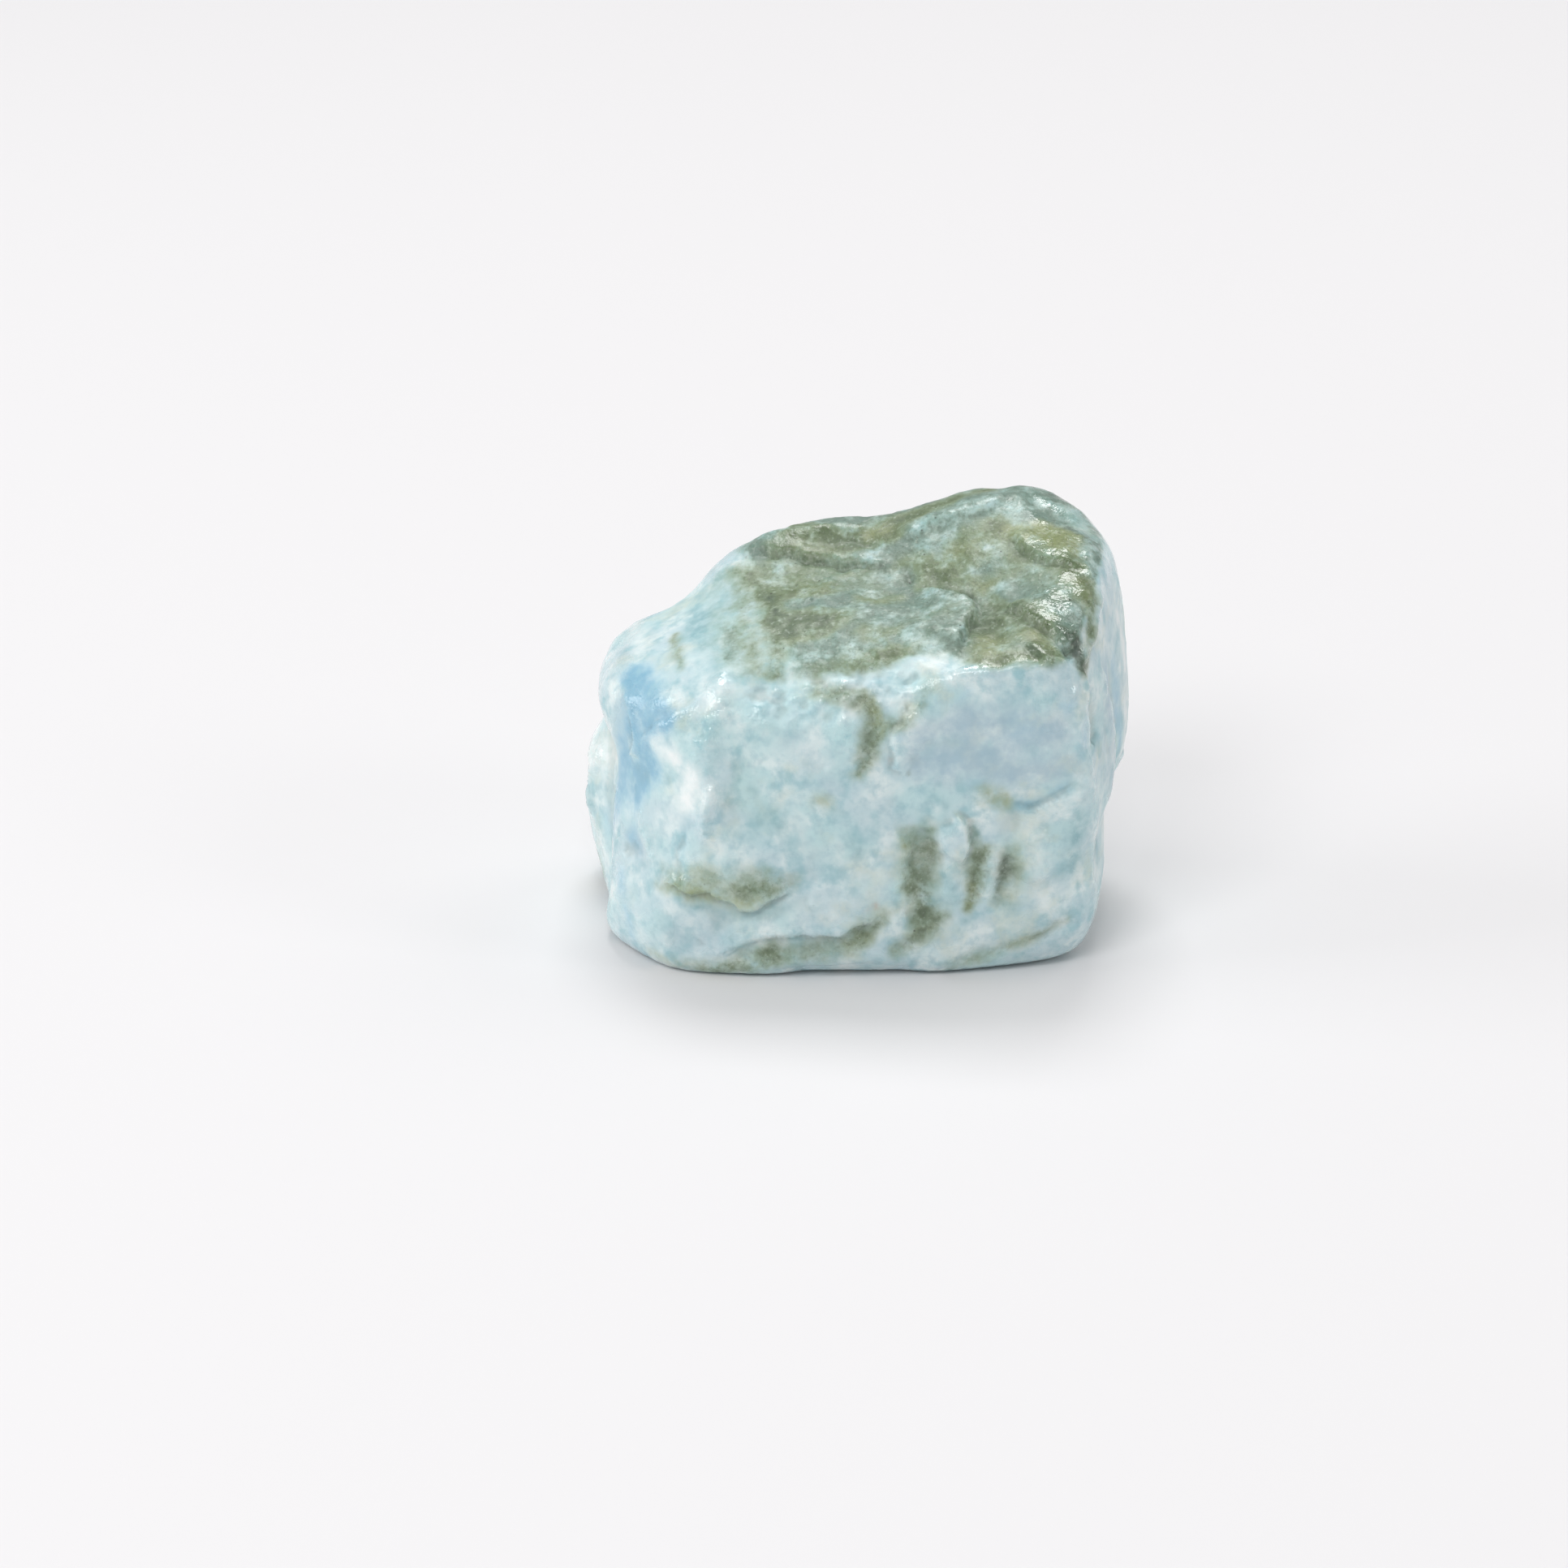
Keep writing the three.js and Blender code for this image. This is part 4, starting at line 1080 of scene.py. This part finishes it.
def stain_cover(side, strength, points):
    """How solid one stain is at each corner: even in its middle, and softly fading out at its border."""
    distance, along, _, _ = from_line(side, [(across, up) for across, up, _ in points])
    stops = np.linspace(0, 1, len(points))
    half_width = np.interp(along, stops, [width for _, _, width in points])
    softness = LEAST_SOFTNESS + SOFTNESS_SHARE * half_width
    return strength * eased((half_width + softness - distance) / (2 * softness))


def store(name, values):
    """Keeps one number per corner on the mesh, where the material can read it."""
    layer = stone.data.attributes.new(name, "FLOAT", "POINT")
    layer.data.foreach_set("value", values.astype(np.float32))


minerals = sorted({mineral for _, mineral, *_ in stains})
for mineral in minerals:
    bare = 1 - HAZE_ON_CRUST * crust if mineral == "haze" else np.ones(len(skin))
    for side, name, strength, *points in stains:
        if name == mineral:
            bare = np.minimum(bare * (1 - stain_cover(side, strength, points)), 1)
    store(mineral, 1 - bare)
store("crust", crust)
store("polish", polish)
store("hollow", hollow)
print(f"{len(stains)} stains of {len(minerals)} minerals: {', '.join(minerals)}")

# %% [markdown]
# ## Building a material in words
#
# The material is made of nodes. A few helpers let each cell say what it wants: noise of a certain width in
# millimetres, a soft step between two values, one colour laid over another. Colours are written as they
# look on a screen and turned into the linear values that a shader needs.

# %% Node helpers
larimar = bpy.data.materials.new("larimar_skin")
larimar.use_nodes = True
tree = larimar.node_tree
shader = tree.nodes["Principled BSDF"]


def node(kind, inputs, **settings):
    """Adds a node, and sets or links each of its inputs."""
    made = tree.nodes.new(kind)
    for name, value in settings.items():
        setattr(made, name, value)
    for name, value in inputs.items():
        if isinstance(value, bpy.types.NodeSocket):
            tree.links.new(value, made.inputs[name])
        else:
            made.inputs[name].default_value = value
    return made


def linear(screen):
    """A screen colour such as "#bcd3d6", as linear red, green, blue and alpha."""
    shares = [int(screen[i:i + 2], 16) / 255 for i in (1, 3, 5)]
    return [s / 12.92 if s <= 0.04045 else ((s + 0.055) / 1.055) ** 2.4 for s in shares] + [1]


def colour(value):
    """A colour as a node input, from a screen colour or a socket."""
    return linear(value) if isinstance(value, str) else value


def sums(operation, first, second=0.0, third=0.0):
    """A math node's result."""
    return node("ShaderNodeMath", {0: first, 1: second, 2: third}, operation=operation).outputs[0]


def laid_over(below, above, amount, most=1.0):
    """One colour over another. Where the amount is 1, it covers as much as `most` says."""
    cover = sums("MULTIPLY", amount, most)
    mix = node("ShaderNodeMix", {0: cover, 6: colour(below), 7: colour(above)}, data_type="RGBA")
    return mix.outputs[2]


def soft_step(value, start, end):
    """0 up to start, 1 from end on, smooth between them."""
    inputs = {"Value": value, "From Min": start, "From Max": end}
    return node("ShaderNodeMapRange", inputs, interpolation_type="SMOOTHSTEP").outputs["Result"]


print(f"material {larimar.name} started")

# %% Noise and stored numbers
object_place = node("ShaderNodeTexCoord", {}).outputs["Object"]
place_mm = node("ShaderNodeVectorMath", {0: object_place, 3: 1 / MM}, operation="SCALE").outputs[0]


def cloud(width, detail=2.0, twist=0.0, seed=0.0):
    """Noise from 0 to 1 whose clouds are about `width` mm across."""
    inputs = {"Vector": place_mm, "Scale": 1 / width, "Detail": detail, "Distortion": twist, "W": seed}
    return node("ShaderNodeTexNoise", inputs, noise_dimensions="4D").outputs[0]


def on_mesh(name):
    """The number stored on the mesh under this name."""
    return node("ShaderNodeAttribute", {}, attribute_name=name).outputs["Fac"]


print("noise in millimetres, and the numbers of the mesh")

# %% [markdown]
# ## The milky body
#
# Seen close, pectolite is a cloudy mix: pale cyan, patches of milk white a few millimetres wide, thin aqua
# veils, faint sand-coloured clouds and a fine mottle. Five layers of noise, each of its own width, give
# that. No layer but the first covers fully what lies below it, so all of them show through.

# %% Body colour
layers = [
    # colour, width in mm, detail, twist, seed, the noise it starts and is full at, most opacity
    ("#c4d9de", 4.2, 3.0, 0.2, 1.0, 0.38, 0.62, 1.00),
    ("#e6f0ef", 1.7, 3.5, 0.2, 2.0, 0.42, 0.68, 0.85),
    ("#93c0c8", 1.1, 4.0, 0.1, 3.0, 0.48, 0.70, 0.75),
    ("#c9d2c2", 2.4, 4.0, 0.1, 3.5, 0.52, 0.70, 0.50),
    ("#a0c2cb", 0.45, 4.0, 0.0, 4.5, 0.45, 0.72, 0.45),
]
skin_colour = "#c0dddf"
for tint, width, detail, twist, seed, start, full, opacity in layers:
    clouds = soft_step(cloud(width, detail, twist, seed), start, full)
    skin_colour = laid_over(skin_colour, tint, clouds, opacity)
print(f"body colour: {len(layers)} layers of cloud")

# %% [markdown]
# ## Laying the minerals in
#
# Each mineral's stored number says where it is and how thick. Noise multiplies that number, so that a
# border frays into flecks as a real stain does, while bare skin stays bare. The deep colour shows where the
# mineral is thickest. The pale minerals go in first, and the dark ones on top. Last comes painted shade: a
# grey green darkening of the hollows.

# %% Mineral colours
pigments = {
    # mineral: thin colour, deep colour, fraying, most opacity, in the order that they are laid in
    "teal": ("#a4c6ca", "#83b0b7", 2.2, 0.80),
    "lavender": ("#b9cdd5", "#a5c0cd", 2.0, 0.80),
    "blue": ("#a6cddd", "#84b5cd", 1.4, 0.88),
    "snow": ("#e2eded", "#f2f7f6", 1.8, 0.90),
    "haze": ("#90ad9b", "#627967", 2.2, 0.86),
    "olive": ("#8c9b75", "#5d6d4b", 1.8, 0.94),
    "ochre": ("#a3aa7a", "#8b9561", 2.2, 0.75),
    "moss": ("#6c7e6a", "#3a4b3b", 1.8, 0.90),
    "rust": ("#b98266", "#93492e", 1.5, 0.90),
}
print(f"colours for {len(pigments)} minerals")

# %% Lay the minerals in
DEEP_FROM = 0.35  # the amount at which the deep colour begins
SOLID_AT = 0.9  # the amount at which a mineral covers what it can
HOLLOW_SHADE = 0.18  # how much painted shade darkens the deepest hollows

fray_wide = sums("SUBTRACT", cloud(1.3, 4.0, 0.1, seed=4.0), 0.5)
fray_fine = sums("SUBTRACT", cloud(0.35, 3.0, seed=5.0), 0.5)
fray = sums("MULTIPLY_ADD", fray_fine, 0.5, fray_wide)

for mineral, (thin, deep, fraying, opacity) in pigments.items():
    loosened = sums("MULTIPLY_ADD", fray, fraying, 1.0)
    amount = sums("MULTIPLY", loosened, on_mesh(mineral))
    shade = laid_over(thin, deep, soft_step(amount, DEEP_FROM, 1.0))
    skin_colour = laid_over(skin_colour, shade, soft_step(amount, 0.0, SOLID_AT), opacity)
# painted shade: the hollows are darkened towards grey green
skin_colour = laid_over(skin_colour, "#6d7f72", on_mesh("hollow"), HOLLOW_SHADE)
print("laid in: " + ", ".join(pigments))

# %% [markdown]
# ## Specks
#
# The green parts are granular: fine dark and pale grains lie side by side in them, with a few black dots.
# Tiny grains of dark ore are also scattered through the whole stone. The fine grain is noise cut at a
# level. The dots come from a cell pattern: each cell holds one dot, and the cell's own random colour
# decides whether its dot is there.

# %% Grain and specks


def dots(width, radius, share):
    """Dots of a radius in mm, one in some of the cells of a pattern `width` mm wide."""
    cells = node("ShaderNodeTexVoronoi", {"Vector": place_mm, "Scale": 1 / width})
    near = soft_step(cells.outputs["Distance"], radius / width, 0.4 * radius / width)
    pick = node("ShaderNodeSeparateColor", {0: cells.outputs["Color"]}).outputs[0]
    return sums("MULTIPLY", near, sums("LESS_THAN", pick, share))


green = sums("MAXIMUM", on_mesh("olive"), on_mesh("moss"))
green = sums("MAXIMUM", green, sums("MULTIPLY", on_mesh("haze"), 0.8))
green_parts = soft_step(green, 0.2, 0.8)
dark_grain = sums("MULTIPLY", soft_step(cloud(0.20, 3.0, seed=6.0), 0.48, 0.70), green_parts)
pale_grain = sums("MULTIPLY", soft_step(cloud(0.26, 3.0, seed=6.5), 0.54, 0.72), green_parts)
green_dots = sums("MULTIPLY", dots(width=0.7, radius=0.09, share=0.30), green_parts)
skin_colour = laid_over(skin_colour, "#46523f", dark_grain, 0.42)
skin_colour = laid_over(skin_colour, "#c3d2c3", pale_grain, 0.38)
skin_colour = laid_over(skin_colour, "#2b2a22", green_dots, 0.8)
skin_colour = laid_over(skin_colour, "#3b3a33", dots(width=2.6, radius=0.10, share=0.16), 0.8)
print("grain in the green parts, and specks everywhere")

# %% [markdown]
# ## Gloss, depth and grain
#
# A tumbled stone shines where it stands proud, and stays satin in between. So the roughness is middling,
# with a little cloud in it, and falls to almost nothing on the proud edges found above. Bump adds pits too
# small for the mesh, which break each reflection into glints. Light also enters a milky stone and comes out
# beside where it went in: a little subsurface scattering, about half a millimetre deep, keeps the pale
# parts soft.

# %% Colour and depth
tree.links.new(skin_colour, shader.inputs["Base Color"])
shader.inputs["IOR"].default_value = 1.6
shader.inputs["Subsurface Weight"].default_value = 0.4
shader.inputs["Subsurface Radius"].default_value = (0.8, 1.0, 1.0)
shader.inputs["Subsurface Scale"].default_value = 0.6 * MM
stone.data.materials.append(larimar)
print("colour linked, faintly translucent")

# %% Gloss
SATIN = 0.38  # roughness of the unpolished skin
CLOUDING = 0.16  # roughness that the clouds add

roughness = sums("MULTIPLY_ADD", cloud(0.8, 3.0, seed=7.0), CLOUDING, SATIN)
roughness = sums("MULTIPLY_ADD", on_mesh("polish"), -SATIN, roughness)
tree.links.new(roughness, shader.inputs["Roughness"])
print(f"roughness: {SATIN} to {SATIN + CLOUDING}, and up to {CLOUDING} where polished")

# %% Pits
PIT_DEPTH = 0.05 * MM
PITTING = 0.30  # bump strength everywhere
CRUST_PITTING = 0.10  # and what the crust adds to it
POLISH_PITTING = 0.30  # and the polished edges, so that they glint in points
WIDE_PITS = 2.2  # how much deeper the wide pits are than the fine ones

pits = sums("MULTIPLY_ADD", cloud(0.60, 3.0, 0.3, seed=8.0), WIDE_PITS, cloud(0.16, seed=9.0))
strength = sums("MULTIPLY_ADD", on_mesh("crust"), CRUST_PITTING, PITTING)
strength = sums("MULTIPLY_ADD", on_mesh("polish"), POLISH_PITTING, strength)
bump = node("ShaderNodeBump", {"Height": pits, "Strength": strength, "Distance": PIT_DEPTH})
tree.links.new(bump.outputs[0], shader.inputs["Normal"])
print(f"pits: {PIT_DEPTH / MM:.2f} mm")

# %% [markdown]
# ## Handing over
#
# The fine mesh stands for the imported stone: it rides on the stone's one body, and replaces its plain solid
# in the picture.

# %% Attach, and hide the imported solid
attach(stone, "root")
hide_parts(NODE)
